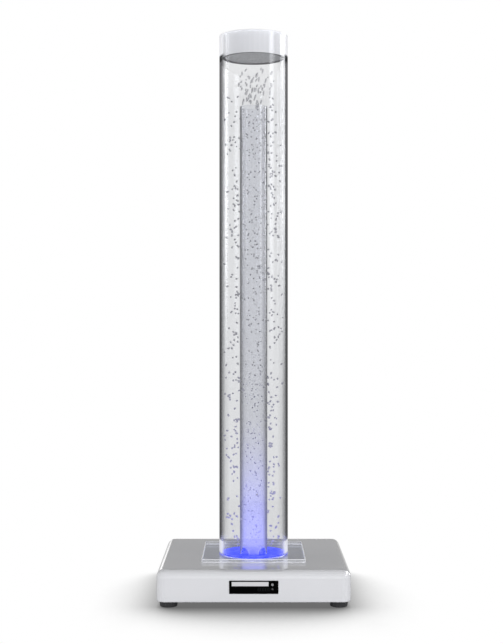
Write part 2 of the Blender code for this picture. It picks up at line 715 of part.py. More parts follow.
def build_cap():
    """The vented plug in the outer tube's mouth, with the filter that keeps the beads in."""
    outside = OUTER_TUBE_BORE - GAP
    inside = outside - CAP_WALL
    seat = outside - CAP_STEP
    roof = CAP_TOP - CAP_WALL
    ring_top = CAP_BOTTOM + FILTER_RING_HEIGHT
    filter_top = ring_top + GAP + CAP_FILTER_THICKNESS
    step = filter_top + GAP
    outline = [
        (0.0, CAP_TOP), (OUTER_TUBE_RADIUS, CAP_TOP), (OUTER_TUBE_RADIUS, OUTER_TUBE_TOP + GAP),
        (outside, OUTER_TUBE_TOP + GAP), (outside, CAP_BOTTOM), (seat, CAP_BOTTOM), (seat, step),
        (inside, step), (inside, roof), (0.0, roof),
    ]
    cap = make_piece("top_cap", turned(outline, TUBE_STEPS), LIGHT_GREY_PLASTIC)
    slots = []
    for number in range(CAP_VENTS):
        slot = block(
            (inside * CAP_VENT_INNER_SHARE, -CAP_VENT_WIDTH / 2, roof - OVERRUN),
            (inside * CAP_VENT_OUTER_SHARE, CAP_VENT_WIDTH / 2, CAP_TOP + OVERRUN),
        )
        slots.append(spun_about_z(slot, math.tau * number / CAP_VENTS))
    cut(cap, "cap_vents", gathered(slots))

    make_piece("cap_filter", rod(seat - GAP, ring_top + GAP, filter_top, TUBE_STEPS), DARK_FOAM)
    make_piece(
        "filter_ring",
        ring(seat - GAP - FILTER_RING_WIDTH, seat - GAP, CAP_BOTTOM, ring_top, TUBE_STEPS),
        DARK_FOAM,
    )


def build_light_well():
    """The white cup under the lit floor, with its ring of lamps and the screws that hold it up."""
    hole = RISER_RADIUS + GAP
    flange_bottom = WELL_FLANGE_TOP - WELL_WALL
    outline = [
        (hole, WELL_BOTTOM), (WELL_RADIUS, WELL_BOTTOM), (WELL_RADIUS, flange_bottom),
        (WELL_FLANGE_RADIUS, flange_bottom), (WELL_FLANGE_RADIUS, WELL_FLANGE_TOP),
        (WELL_RADIUS, WELL_FLANGE_TOP), (WELL_RADIUS, ROOF_UNDERSIDE - GAP),
        (ROOF_HOLE_RADIUS, ROOF_UNDERSIDE - GAP), (ROOF_HOLE_RADIUS, WELL_FLOOR), (hole, WELL_FLOOR),
    ]
    well = make_piece("light_well", turned(outline, TUBE_STEPS), WHITE_PLASTIC)
    holes = [
        rod(SCREW_RADIUS + GAP, flange_bottom - OVERRUN, WELL_FLANGE_TOP + OVERRUN, SCREW_STEPS, place)
        for place in WELL_SCREW_PLACES
    ]
    lead_place = light_lead_place()
    holes.append(rod(LEAD_RADIUS + GAP, WELL_BOTTOM - OVERRUN, WELL_FLOOR + OVERRUN, SCREW_STEPS, lead_place))
    cut(well, "well_holes", gathered(holes))
    for number, place in enumerate(WELL_SCREW_PLACES):
        seat = flange_bottom - GAP
        length = ROOF_UNDERSIDE - WELL_BOSS_HEIGHT + SCREW_BITE - seat
        make_piece(f"light_well_screw_{number + 1}", screw_shape(SCREW_RADIUS, length), STEEL, (*place, seat))

    board_bottom = WELL_FLOOR + GAP
    board_top = board_bottom + LAMP_BOARD_THICKNESS
    board_edge = ROOF_HOLE_RADIUS - GAP - WELL_WALL
    sheet = ring(LAMP_BOARD_INNER_RADIUS, board_edge, board_bottom, board_top, TUBE_STEPS)
    board = make_piece("led_ring", sheet, WHITE_PLASTIC)
    circle = ROOF_HOLE_RADIUS * LAMP_CIRCLE_SHARE
    lamp = (LAMP_SIDE / 2, LAMP_SIDE / 2, board_top + LAMP_HEIGHT)
    lamps = [
        spun_about_z(
            block((circle - lamp[0], -lamp[1], board_top - EMBED), (circle + lamp[0], lamp[1], lamp[2])),
            math.tau * number / LAMP_COUNT,
        )
        for number in range(LAMP_COUNT)
    ]
    grow(board, "lamps", gathered(lamps))


def light_lead_place():
    """Where the light's lead passes the well's bottom, halfway between its hole and its wall."""
    return 0.0, -(RISER_RADIUS + WELL_RADIUS) / 2


def build_blower_housing():
    place = (BLOWER_X, BLOWER_Y, 0.0)
    shell = raised(scroll_outline(SCROLL_WALL, 0.0), SCROLL_BOTTOM, SCROLL_TOP)
    scroll = make_piece("blower_scroll", shell, BLACK_PLASTIC, place)
    ear_top = SCROLL_BOTTOM + EAR_HEIGHT
    ears = [rod(EAR_RADIUS, SCROLL_BOTTOM, ear_top, SMALL_STEPS, ear) for ear in EAR_PLACES]
    grow(scroll, "scroll_ears", gathered(ears))
    hollow = raised(scroll_outline(0.0, OVERRUN), SCROLL_BOTTOM + SCROLL_WALL, SCROLL_CEILING)
    cut(scroll, "scroll_inside", hollow)
    openings = [
        rod(SCREW_RADIUS + GAP, SCROLL_BOTTOM - OVERRUN, ear_top + OVERRUN, SCREW_STEPS, ear)
        for ear in EAR_PLACES
    ]
    wheel_opening = IMPELLER_RADIUS + TONGUE_GAP / 2
    openings.append(rod(
        wheel_opening, SCROLL_BOTTOM - OVERRUN, SCROLL_BOTTOM + SCROLL_WALL + EMBED, ROUND_STEPS
    ))
    openings.append(rod(
        LEAD_RADIUS + GAP, SCROLL_CEILING - OVERRUN, SCROLL_TOP + OVERRUN, SCREW_STEPS, motor_lead_place()
    ))
    cut(scroll, "scroll_openings", gathered(openings))

    cover = raised(scroll_outline(SCROLL_WALL, -DUCT_SOCKET - GAP), LID_BOTTOM, LID_TOP)
    lid = make_piece("blower_lid", cover, BLACK_PLASTIC, place)
    tabs = [rod(EAR_RADIUS, LID_BOTTOM, LID_TOP, SMALL_STEPS, ear) for ear in EAR_PLACES]
    ring_top = LID_TOP + LID_RING_HEIGHT
    tabs.append(rod(LID_INLET_RADIUS + SCROLL_WALL, LID_TOP - EMBED, ring_top, ROUND_STEPS))
    grow(lid, "lid_tabs", gathered(tabs))
    holes = [
        rod(SCREW_RADIUS + GAP, LID_BOTTOM - OVERRUN, LID_TOP + OVERRUN, SCREW_STEPS, ear)
        for ear in EAR_PLACES
    ]
    holes.append(rod(LID_INLET_RADIUS, LID_BOTTOM - OVERRUN, ring_top + OVERRUN, ROUND_STEPS))
    cut(lid, "lid_holes", gathered(holes))

    seat = ear_top + GAP
    length = seat - (LID_BOTTOM - GAP - SCREW_BITE + GAP)
    for number, ear in enumerate(EAR_PLACES):
        spot = (BLOWER_X + ear[0], BLOWER_Y + ear[1], seat)
        screw = screw_shape(SCREW_RADIUS, length, head_down=False)
        make_piece(f"blower_screw_{number + 1}", screw, STEEL, spot)
    disc = rod(FILTER_RADIUS, PLATE_TOP + GAP, PLATE_TOP + GAP + FILTER_THICKNESS, ROUND_STEPS)
    make_piece("intake_filter", disc, DARK_FOAM, place)


def motor_lead_place():
    """Where the motor's lead leaves the top of the can, about the blower's axis."""
    return 0.0, (MOTOR_RADIUS + BEARING_RADIUS) / 2


def build_air_duct():
    """The box that leads the air under the light well and up to the nozzle."""
    inner = DUCT_INSIDE / 2
    outer = inner + DUCT_WALL
    rear = OUTLET_Y + DUCT_SOCKET
    box = block((-outer, -outer, DUCT_BOTTOM), (outer, rear, DUCT_TOP))
    duct = make_piece("air_duct", box, BLACK_PLASTIC)
    grow(duct, "duct_riser", rod(RISER_RADIUS, DUCT_TOP - EMBED, RISER_TOP, ROUND_STEPS))
    hollow = block((-inner, -inner, SCROLL_BOTTOM - GAP), (inner, rear + OVERRUN, SCROLL_TOP + GAP))
    cut(duct, "duct_inside", hollow)
    cut(duct, "riser_bore", rod(RISER_BORE, SCROLL_TOP - OVERRUN, RISER_TOP + OVERRUN, ROUND_STEPS))


def build_impeller():
    """The wheel and its shaft, which turn together on the blower's upright axis."""
    top = SCROLL_CEILING - IMPELLER_HEADROOM
    bottom = top - IMPELLER_HEIGHT
    cup = MOTOR_RADIUS + MOTOR_CLEARANCE
    cup_floor = bottom + IMPELLER_WALL
    bore = SHAFT_RADIUS + RUNNING_GAP
    blade_root = IMPELLER_RADIUS - BLADE_DEPTH
    axis = (BLOWER_X, BLOWER_Y, 0.0)
    outline = [
        (bore, bottom), (cup + IMPELLER_WALL, bottom), (cup + IMPELLER_WALL, top - IMPELLER_WALL),
        (IMPELLER_RADIUS, top - IMPELLER_WALL), (IMPELLER_RADIUS, top), (cup, top), (cup, cup_floor),
        (SHAFT_BOSS_RADIUS, cup_floor), (SHAFT_BOSS_RADIUS, cup_floor + SHAFT_BOSS_HEIGHT),
        (bore, cup_floor + SHAFT_BOSS_HEIGHT),
    ]
    wheel = make_piece("impeller", turned(outline), BLACK_PLASTIC, axis)
    blades = []
    for number in range(BLADE_COUNT):
        blade = raised(blade_outline(blade_root), bottom + IMPELLER_WALL / 2, top - IMPELLER_WALL / 2)
        blades.append(spun_about_z(blade, math.tau * number / BLADE_COUNT))
    grow(wheel, "impeller_blades", gathered(blades))
    shroud = ring(IMPELLER_RADIUS - SHROUD_WIDTH, IMPELLER_RADIUS, bottom, bottom + IMPELLER_WALL)
    grow(wheel, "impeller_shroud", shroud)

    motor_top = SCROLL_CEILING - GAP
    shaft = rod(SHAFT_RADIUS, bottom, motor_top - BEARING_INSET, SMALL_STEPS)
    make_piece("motor_shaft", shaft, STEEL, axis)


def blade_outline(root):
    """A forward-curved blade seen from above, at the wheel's +X side."""
    tip = IMPELLER_RADIUS - SHROUD_WIDTH / 4
    front = []
    back = []
    for number in range(BLADE_STEPS + 1):
        share = number / BLADE_STEPS
        radius = root + share * (tip - root)
        angle = BLADE_SWEEP * share ** 2
        lean = BLADE_THICKNESS / 2 / radius
        front.append((radius * math.cos(angle - lean), radius * math.sin(angle - lean)))
        back.append((radius * math.cos(angle + lean), radius * math.sin(angle + lean)))
    return front + back[::-1]


def build_motor():
    """The still half of the motor, with the two bearings that its shaft runs in."""
    place = (BLOWER_X, BLOWER_Y, 0.0)
    top = SCROLL_CEILING - GAP
    bottom = top - MOTOR_HEIGHT
    can = ring(BEARING_RADIUS + GAP, MOTOR_RADIUS, bottom, top, SMALL_STEPS)
    make_piece("motor_can", can, STEEL, place)
    bore = SHAFT_RADIUS + RUNNING_GAP
    for name, low in (
        ("shaft_bearing_upper", top - BEARING_INSET - BEARING_HEIGHT),
        ("shaft_bearing_lower", bottom + BEARING_INSET),
    ):
        race = ring(bore, BEARING_RADIUS, low, low + BEARING_HEIGHT, SMALL_STEPS)
        make_piece(name, race, STEEL, place)


def panel_rod(radius, front, back, place, steps=SMALL_STEPS):
    """A rod through the panel. Depths count from the housing's front face towards the rear."""
    return facing_front(rod(radius, -back, -front, steps), (place[0], 0.0, place[1]))


def panel_block(width, height, front, back, place):
    """A box in the panel, about a place on its face, between two depths."""
    return block(
        (place[0] - width / 2, front, place[1] - height / 2),
        (place[0] + width / 2, back, place[1] + height / 2),
    )


def build_panel():
    """The control panel. Its pieces hang from an empty in the middle of the housing's front opening."""
    datum = bpy.data.objects.new("panel_datum", None)
    datum.location = (0.0, -BASE_WIDTH / 2, PANEL_Z)
    bpy.context.scene.collection.objects.link(datum)
    middle = (0.0, 0.0, 0.0)

    rim = rounded_block(
        (-PANEL_WIDTH / 2, -PANEL_HEIGHT / 2, GAP), (PANEL_WIDTH / 2, PANEL_HEIGHT / 2, PANEL_PROUD),
        PANEL_CORNER_RADIUS, steps=3,
    )
    round_rim(rim, PANEL_PROUD, GAP, steps=1)
    bezel = make_piece("panel_bezel", facing_front(rim), BLACK_PLASTIC, middle, datum)
    body = panel_block(PANEL_BODY_WIDTH, PANEL_BODY_HEIGHT, -PANEL_PROUD / 2, PANEL_BODY_DEPTH, (0.0, 0.0))
    posts = [(side * PANEL_POST_X, PANEL_POST_Z) for side in (-1, 1)]
    grow(bezel, "bezel_body", body)
    grow(bezel, "bezel_posts", gathered([
        panel_rod(PANEL_POST_RADIUS, PANEL_BODY_DEPTH - EMBED, BOARD_DEPTH - GAP, post) for post in posts
    ]))
    front = -PANEL_PROUD - OVERRUN
    back = PANEL_BODY_DEPTH + OVERRUN
    openings = [
        panel_block(DISPLAY_WIDTH, DISPLAY_HEIGHT, front, back, (DISPLAY_X, DISPLAY_Z)),
        panel_rod(BUTTON_RADIUS + GAP, front, back, (BUTTON_X, BUTTON_Z)),
        panel_rod(LAMP_LENS_RADIUS + GAP, front, back, (BUTTON_X, LAMP_Z)),
    ]
    openings += [
        panel_block(KEY_WIDTH + 2 * GAP, KEY_HEIGHT + 2 * GAP, front, back, key) for key in KEY_PLACES
    ]
    for column in range(MICROPHONE_COLUMNS):
        for row in range(MICROPHONE_ROWS):
            hole_x = MICROPHONE_X + (column - (MICROPHONE_COLUMNS - 1) / 2) * MICROPHONE_PITCH
            hole_z = MICROPHONE_Z + (row - (MICROPHONE_ROWS - 1) / 2) * MICROPHONE_PITCH
            bottom = MICROPHONE_HOLE_DEPTH - PANEL_PROUD
            openings.append(panel_rod(MICROPHONE_HOLE_RADIUS, front, bottom, (hole_x, hole_z), HOLE_STEPS))
    for post in posts:
        openings.append(panel_rod(
            SCREW_RADIUS + GAP, BOARD_DEPTH - SCREW_BITE - GAP, BOARD_DEPTH + OVERRUN, post, SCREW_STEPS
        ))
    cut(bezel, "bezel_openings", gathered(openings))

    pane_width = DISPLAY_WIDTH - 2 * GAP
    pane_height = DISPLAY_HEIGHT - 2 * GAP
    pane_front = DISPLAY_RECESS - PANEL_PROUD
    pane_back = pane_front + WINDOW_THICKNESS
    spot = (DISPLAY_X, DISPLAY_Z)
    pane = panel_block(pane_width, pane_height, pane_front, pane_back, spot)
    make_piece("display_window", pane, DISPLAY_GLASS, middle, datum)
    module = panel_block(pane_width, pane_height, pane_back + GAP, BOARD_DEPTH - GAP, spot)
    make_piece("display_module", module, WHITE_PLASTIC, middle, datum)

    lens = panel_rod(LAMP_LENS_RADIUS, -PANEL_PROUD, BOARD_DEPTH - GAP, (BUTTON_X, LAMP_Z))
    make_piece("status_lamp", lens, DISPLAY_GLASS, middle, datum)

    build_keys(datum)
    build_control_board(datum, posts)


def build_keys(datum):
    """The round power button and the row of keys. Each has a collar behind the panel that holds it
    in, and a stem that ends short of its switch by more than its travel."""
    key_front = -PANEL_PROUD - KEY_PROUD
    collar_front = PANEL_BODY_DEPTH + GAP
    collar_back = collar_front + KEY_COLLAR_THICKNESS
    stem_back = collar_back + KEY_STEM
    collar_radius = BUTTON_RADIUS + KEY_COLLAR + GAP
    round_off = KEY_PROUD / 2
    profile = [
        (0.0, -key_front), (BUTTON_RADIUS - round_off, -key_front), (BUTTON_RADIUS, -key_front - round_off),
        (BUTTON_RADIUS, -collar_front), (collar_radius, -collar_front), (collar_radius, -collar_back),
        (BUTTON_RADIUS / 2, -collar_back), (BUTTON_RADIUS / 2, -stem_back), (0.0, -stem_back),
    ]
    button = facing_front(turned(profile, SMALL_STEPS))
    make_piece("power_button", button, LIGHT_GREY_PLASTIC, (BUTTON_X, 0.0, BUTTON_Z), datum)

    for number, (key_x, key_z) in enumerate(KEY_PLACES):
        middle = (0.0, 0.0)
        cap = panel_block(KEY_WIDTH, KEY_HEIGHT, key_front, collar_back, middle)
        key = make_piece(f"key_{number + 1}", cap, BLACK_PLASTIC, (key_x, 0.0, key_z), datum)
        collar_height = KEY_HEIGHT + 2 * (GAP + KEY_COLLAR)
        collar = panel_block(KEY_WIDTH, collar_height, collar_front, collar_back, middle)
        grow(key, f"key_collar_{number + 1}", collar)
        stem_front = collar_back - KEY_COLLAR_THICKNESS / 2
        stem = panel_block(KEY_WIDTH / 2, KEY_WIDTH / 2, stem_front, stem_back, middle)
        grow(key, f"key_stem_{number + 1}", stem)


def build_control_board(datum, posts):
    """The circuit board behind the panel, with its switches, plugs and parts, and its two screws."""
    sheet = panel_block(BOARD_WIDTH, BOARD_HEIGHT, BOARD_DEPTH, BOARD_BACK, (0.0, 0.0))
    board = make_piece("control_board", sheet, CIRCUIT_BOARD, (0.0, 0.0, 0.0), datum)
    stem_back = PANEL_BODY_DEPTH + GAP + KEY_COLLAR_THICKNESS + KEY_STEM
    switch_front = stem_back + KEY_TRAVEL + GAP
    switches = KEY_PLACES + [(BUTTON_X, BUTTON_Z)]
    parts = [
        panel_block(TACT_SWITCH_WIDTH, TACT_SWITCH_WIDTH, switch_front, BOARD_DEPTH + EMBED, spot)
        for spot in switches
    ]
    rear = BOARD_BACK - EMBED
    for plug_x in CONNECTOR_XS:
        spot = (plug_x, CONNECTOR_Z)
        parts.append(panel_block(CONNECTOR_WIDTH, CONNECTOR_HEIGHT, rear, BOARD_BACK + CONNECTOR_DEPTH, spot))
    chip = (CHIP_X, COMPONENT_Z)
    parts.append(panel_block(CHIP_WIDTH, CHIP_WIDTH, rear, BOARD_BACK + CHIP_THICKNESS, chip))
    for capacitor_x in CAPACITOR_XS:
        spot = (capacitor_x, COMPONENT_Z)
        parts.append(panel_rod(CAPACITOR_RADIUS, rear, BOARD_BACK + CAPACITOR_HEIGHT, spot))
    grow(board, "board_parts", gathered(parts))
    holes = [
        panel_rod(SCREW_RADIUS + GAP, BOARD_DEPTH - OVERRUN, BOARD_BACK + OVERRUN, post, SCREW_STEPS)
        for post in posts
    ]
    cut(board, "board_holes", gathered(holes))
    seat = BOARD_BACK + GAP
    for side, post in zip(("left", "right"), posts):
        screw = facing_front(screw_shape(SCREW_RADIUS, seat - BOARD_DEPTH + SCREW_BITE))
        make_piece(f"panel_screw_{side}", screw, STEEL, (post[0], seat, post[1]), datum)


def build_power_inlet():
    """The low-voltage socket in the housing's rear wall and the nut that holds it."""
    front = INLET_FLANGE_DEPTH
    socket = front - INLET_SOCKET_DEPTH
    outline = [
        (0.0, GAP), (INLET_PIN_RADIUS, GAP), (INLET_PIN_RADIUS, socket),
        (INLET_SOCKET_RADIUS, socket), (INLET_SOCKET_RADIUS, front), (INLET_FLANGE_RADIUS, front),
        (INLET_FLANGE_RADIUS, GAP), (INLET_BARREL_RADIUS, GAP), (INLET_BARREL_RADIUS, -INLET_LENGTH),
        (0.0, -INLET_LENGTH),
    ]
    place = (INLET_X, BASE_WIDTH / 2, INLET_Z)
    make_piece("power_inlet", facing_rear(turned(outline, SMALL_STEPS)), BLACK_PLASTIC, place)
    nut_top = -BASE_WALL - GAP
    nut_bottom = nut_top - INLET_NUT_THICKNESS
    hexagon = rod(INLET_NUT_RADIUS, nut_bottom, nut_top, HOLE_STEPS)
    nut = make_piece("inlet_nut", facing_rear(hexagon), STEEL, place)
    bore = rod(INLET_BARREL_RADIUS + GAP, nut_bottom - OVERRUN, nut_top + OVERRUN)
    cut(nut, "nut_bore", facing_rear(bore))


def build_lead(name, route, lie):
    """A round lead on a smooth curve through its route's points, no lower than where it lies."""
    curve = bpy.data.curves.new(name, "CURVE")
    curve.dimensions = "3D"
    curve.bevel_depth = LEAD_RADIUS
    curve.bevel_resolution = 2
    curve.use_fill_caps = True
    points = smooth_route([Vector(point) for point in route])
    spline = curve.splines.new("POLY")
    spline.points.add(len(points) - 1)
    for slot, point in zip(spline.points, points):
        slot.co = (point.x, point.y, max(point.z, lie), 1.0)
    lead = bpy.data.objects.new(name, curve)
    bpy.context.scene.collection.objects.link(lead)
    curve.materials.append(finish_material(name, BLACK_CABLE))


def smooth_route(route):
    """Points on a smooth curve through each point of a route, closer together in its bends."""
    ends = [2 * route[0] - route[1]] + route + [2 * route[-1] - route[-2]]
    points = [route[0]]
    for before, start, stop, after in zip(ends, ends[1:], ends[2:], ends[3:]):
        count = max(1, round((stop - start).length / LEAD_SPACING))
        for number in range(1, count + 1):
            along = number / count
            points.append(0.5 * (
                2 * start + (stop - before) * along
                + (2 * before - 5 * start + 4 * stop - after) * along ** 2
                + (3 * start - before - 3 * stop + after) * along ** 3
            ))
    return points


def build_leads():
    """The three leads from the control board to the inlet, the lamps and the motor. They lie on the
    base plate."""
    lie = PLATE_TOP + GAP + LEAD_RADIUS
    plug_y = -BASE_WIDTH / 2 + BOARD_BACK + CONNECTOR_DEPTH + GAP
    plug_z = PANEL_Z + CONNECTOR_Z
    out = 4 * LEAD_RADIUS
    straight = plug_y + out / 2
    near = plug_y + out
    lane = BASE_WIDTH / 2 - BASE_WALL - FOOT_INSET - CORNER_BOSS_RADIUS

    fan_x, light_x, power_x = CONNECTOR_XS
    inlet_y = BASE_WIDTH / 2 - INLET_LENGTH - GAP
    build_lead("power_lead", [
        (power_x, plug_y, plug_z), (power_x, straight, plug_z), (power_x, near, plug_z),
        (power_x + out, near + 2 * out, lie + out), (power_x + 3 * out, near + 4 * out, lie),
        (INLET_X - out, -lane / 2, lie), (INLET_X, 0.0, lie), (INLET_X, lane - 6 * out, lie),
        (INLET_X, lane - 3 * out, lie + out / 2), (INLET_X, lane, INLET_Z - out),
        (INLET_X, inlet_y - out, INLET_Z), (INLET_X, inlet_y - out / 2, INLET_Z),
        (INLET_X, inlet_y, INLET_Z),
    ], lie)

    drop_x, drop_y = light_lead_place()
    build_lead("light_lead", [
        (light_x, plug_y, plug_z), (light_x, straight, plug_z), (light_x, near, plug_z),
        (light_x, near + 2 * out, lie + out), (light_x, near + 4 * out, lie),
        (light_x, drop_y - 3 * out, lie), (drop_x, drop_y - out, lie + out),
        (drop_x, drop_y, WELL_BOTTOM - out), (drop_x, drop_y, WELL_BOTTOM - out / 2),
        (drop_x, drop_y, WELL_FLOOR),
    ], lie)

    motor_x = BLOWER_X + motor_lead_place()[0]
    motor_y = BLOWER_Y + motor_lead_place()[1]
    rest = SCROLL_TOP + 2 * GAP + LEAD_RADIUS
    side = BLOWER_X - SCROLL_END - SCROLL_WALL
    build_lead("fan_lead", [
        (fan_x, plug_y, plug_z), (fan_x, straight, plug_z), (fan_x, near, plug_z),
        (fan_x - out, near + 2 * out, lie + out), (fan_x - 3 * out, near + 4 * out, lie),
        (side + out, -lane / 2, lie), (side - out, 0.0, lie),
        (side - out, BLOWER_Y - 8 * out, lie + out / 2), (side - out, BLOWER_Y - 5 * out, lie + 2 * out),
        (side - out / 2, BLOWER_Y - 2 * out, rest), (side + out, BLOWER_Y, rest + out / 2),
        (side + 3 * out, motor_y, rest), (motor_x - 3 * out, motor_y, rest),
        (motor_x - out, motor_y, rest + out / 2), (motor_x - out / 4, motor_y, rest + out / 4),
        (motor_x, motor_y, SCROLL_TOP), (motor_x, motor_y, SCROLL_CEILING),
    ], lie)


for old_object in list(bpy.data.objects):
    bpy.data.objects.remove(old_object, do_unlink=True)

build_base_housing()
build_base_plate()
build_feet()
build_tube_flange()
build_tubes()
build_tube_floor()
build_nozzle()
build_cap()
build_light_well()
build_blower_housing()
build_air_duct()
build_impeller()
build_motor()
build_panel()
build_power_inlet()
build_leads()

for shaped in bpy.data.objects:
    if any(step.type == "BOOLEAN" for step in shaped.modifiers):
        shading = shaped.modifiers.new("flat_face_shading", "WEIGHTED_NORMAL")
        shading.keep_sharp = True
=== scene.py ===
import math
import random

import bmesh
import bpy
from mathutils import Matrix, Vector


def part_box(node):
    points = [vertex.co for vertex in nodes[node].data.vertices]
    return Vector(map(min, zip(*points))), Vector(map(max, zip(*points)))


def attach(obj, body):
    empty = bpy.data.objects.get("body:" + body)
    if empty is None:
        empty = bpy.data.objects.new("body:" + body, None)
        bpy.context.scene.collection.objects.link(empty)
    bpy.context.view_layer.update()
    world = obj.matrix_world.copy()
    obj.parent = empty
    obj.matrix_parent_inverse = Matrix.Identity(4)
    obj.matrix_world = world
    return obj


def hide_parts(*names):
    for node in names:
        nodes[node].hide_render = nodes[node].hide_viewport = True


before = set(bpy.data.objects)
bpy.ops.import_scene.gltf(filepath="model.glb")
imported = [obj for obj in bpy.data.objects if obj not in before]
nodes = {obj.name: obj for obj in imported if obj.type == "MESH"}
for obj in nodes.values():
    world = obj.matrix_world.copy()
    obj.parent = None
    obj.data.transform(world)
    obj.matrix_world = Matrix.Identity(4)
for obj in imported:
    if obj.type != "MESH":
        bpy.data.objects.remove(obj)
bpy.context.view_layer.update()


# Base housing
# A square shell moulded in one piece and sprayed a light silver-grey gloss. Everything else hangs in it
# or stands on it, and screws from below hold the closing plate in its mouth.
SILVER = (0.655, 0.660, 0.690)


def shader_part(tree, kind, **inputs):
    """Add one node to a material and set those of its inputs that are plain numbers or colours."""
    part = tree.nodes.new("ShaderNode" + kind)
    for name, value in inputs.items():
        part.inputs[name.replace("_", " ")].default_value = value
    return part


def wire(tree, source, output, target, slot):
    """Join an output of one node to an input of another."""
    tree.links.new(source.outputs[output], target.inputs[slot])


def found_part(tree, kind):
    """The first node of one kind that a material already has."""
    return next(part for part in tree.nodes if part.bl_idname == "ShaderNode" + kind)


def shaded(colour, share):
    """A colour made lighter or darker, as a shader takes it."""
    return (*[min(1.0, part * share) for part in colour], 1.0)


def moulded(
    name, colour, roughness, grain=900.0, relief=0.00002, drift=0.03, wear=0.05, metallic=0.0, gloss=0.5,
):
    """A moulded, sprayed or plated skin: faint drift in its colour, uneven gloss and a fine grain."""
    skin = bpy.data.materials.new(name)
    skin.use_nodes = True
    tree = skin.node_tree
    surface = tree.nodes["Principled BSDF"]
    surface.inputs["Metallic"].default_value = metallic
    surface.inputs["Specular IOR Level"].default_value = gloss
    place = tree.nodes.new("ShaderNodeTexCoord")
    cloud = shader_part(tree, "TexNoise", Scale=11.0, Detail=4.0, Roughness=0.55)
    fine = shader_part(tree, "TexNoise", Scale=grain, Detail=2.0, Roughness=0.5)
    tint = shader_part(tree, "MixRGB", Color1=shaded(colour, 1.0 - drift))
    tint.inputs["Color2"].default_value = shaded(colour, 1.0 + drift)
    polish = shader_part(tree, "MapRange", From_Min=0.3, From_Max=0.7)
    polish.inputs["To Min"].default_value = max(0.02, roughness - wear)
    polish.inputs["To Max"].default_value = min(1.0, roughness + wear)
    bump = shader_part(tree, "Bump", Strength=0.6, Distance=relief)
    wire(tree, place, "Object", cloud, "Vector")
    wire(tree, place, "Object", fine, "Vector")
    wire(tree, cloud, "Fac", tint, "Fac")
    wire(tree, cloud, "Fac", polish, "Value")
    wire(tree, fine, "Fac", bump, "Height")
    wire(tree, tint, "Color", surface, "Base Color")
    wire(tree, polish, "Result", surface, "Roughness")
    wire(tree, bump, "Normal", surface, "Normal")
    return skin


def dress(material, *names):
    """Give CAD nodes a finish in place of the plain one they came with."""
    for name in names:
        for slot in nodes[name].material_slots:
            slot.material = material


silver_gloss = moulded(
    "silver_gloss", SILVER, roughness=0.10, grain=1500.0, relief=0.000002, drift=0.012, wear=0.03,
)
silver_surface = silver_gloss.node_tree.nodes["Principled BSDF"]
silver_surface.inputs["Coat Weight"].default_value = 1.0
silver_surface.inputs["Coat Roughness"].default_value = 0.03
dress(silver_gloss, "base_housing")


# Closing plate
# A pressed sheet of zinc-plated steel with the air intake grille, the motor post and the standoffs.
# It lies in the housing's mouth and is held by the four foot screws.
ZINC = (0.42, 0.43, 0.44)
zinc_sheet = moulded(
    "zinc_sheet", ZINC, roughness=0.36, grain=240.0, relief=0.00002, drift=0.12, wear=0.10, metallic=1.0,
)
dress(zinc_sheet, "base_plate")


# Feet
# Four turned rubber pucks, each drawn up by one steel screw through the plate into the housing.
# Rubber is matt and slightly dusty, and the screws are bright zinc.
RUBBER = (0.030, 0.030, 0.032)
BRIGHT_STEEL = (0.55, 0.56, 0.57)
rubber = moulded("foot_rubber", RUBBER, roughness=0.72, grain=700.0, relief=0.00004, drift=0.25, wear=0.10)
bright_steel = moulded(
    "bright_steel", BRIGHT_STEEL, roughness=0.28, grain=1800.0, relief=0.00001, drift=0.05, metallic=1.0,
)
for corner in ("front_left", "front_right", "rear_left", "rear_right"):
    dress(rubber, f"foot_{corner}")
    dress(bright_steel, f"foot_screw_{corner}")


# Light well
# A white moulded cup under the lit floor, with a ring board of blue lamps laid in it.
# Three small screws hold it to bosses under the housing's roof.
CUP_WHITE = (0.80, 0.80, 0.79)
LAMP_BOARD_BLUE = (0.62, 0.66, 0.92)
cup_white = moulded("cup_white", CUP_WHITE, roughness=0.45, grain=1100.0, relief=0.00001)
dress(cup_white, "light_well")
dress(bright_steel, "light_well_screw_1", "light_well_screw_2", "light_well_screw_3")
lamp_board = moulded(
    "lamp_board", LAMP_BOARD_BLUE, roughness=0.40, grain=320.0, relief=0.00005, drift=0.20,
)
dress(lamp_board, "led_ring")


# Blower
# A radial fan in a white moulded scroll with a screwed lid. A black motor drives the white wheel on a steel
# shaft, foam over the grille keeps dust out, and a white duct takes the air to the nozzle.
SCROLL_WHITE = (0.72, 0.72, 0.70)
MOTOR_BLACK = (0.020, 0.020, 0.022)
INTAKE_FOAM = (0.05, 0.052, 0.055)
blower_white = moulded("blower_white", SCROLL_WHITE, roughness=0.50, grain=800.0, relief=0.00002)
motor_black = moulded("motor_black", MOTOR_BLACK, roughness=0.38, grain=900.0, relief=0.00002, drift=0.2)
dress(blower_white, "blower_scroll", "blower_lid", "impeller", "air_duct")
dress(motor_black, "motor_can")
dress(bright_steel, "motor_shaft", "shaft_bearing_lower", "shaft_bearing_upper")
dress(bright_steel, "blower_screw_1", "blower_screw_2", "blower_screw_3")


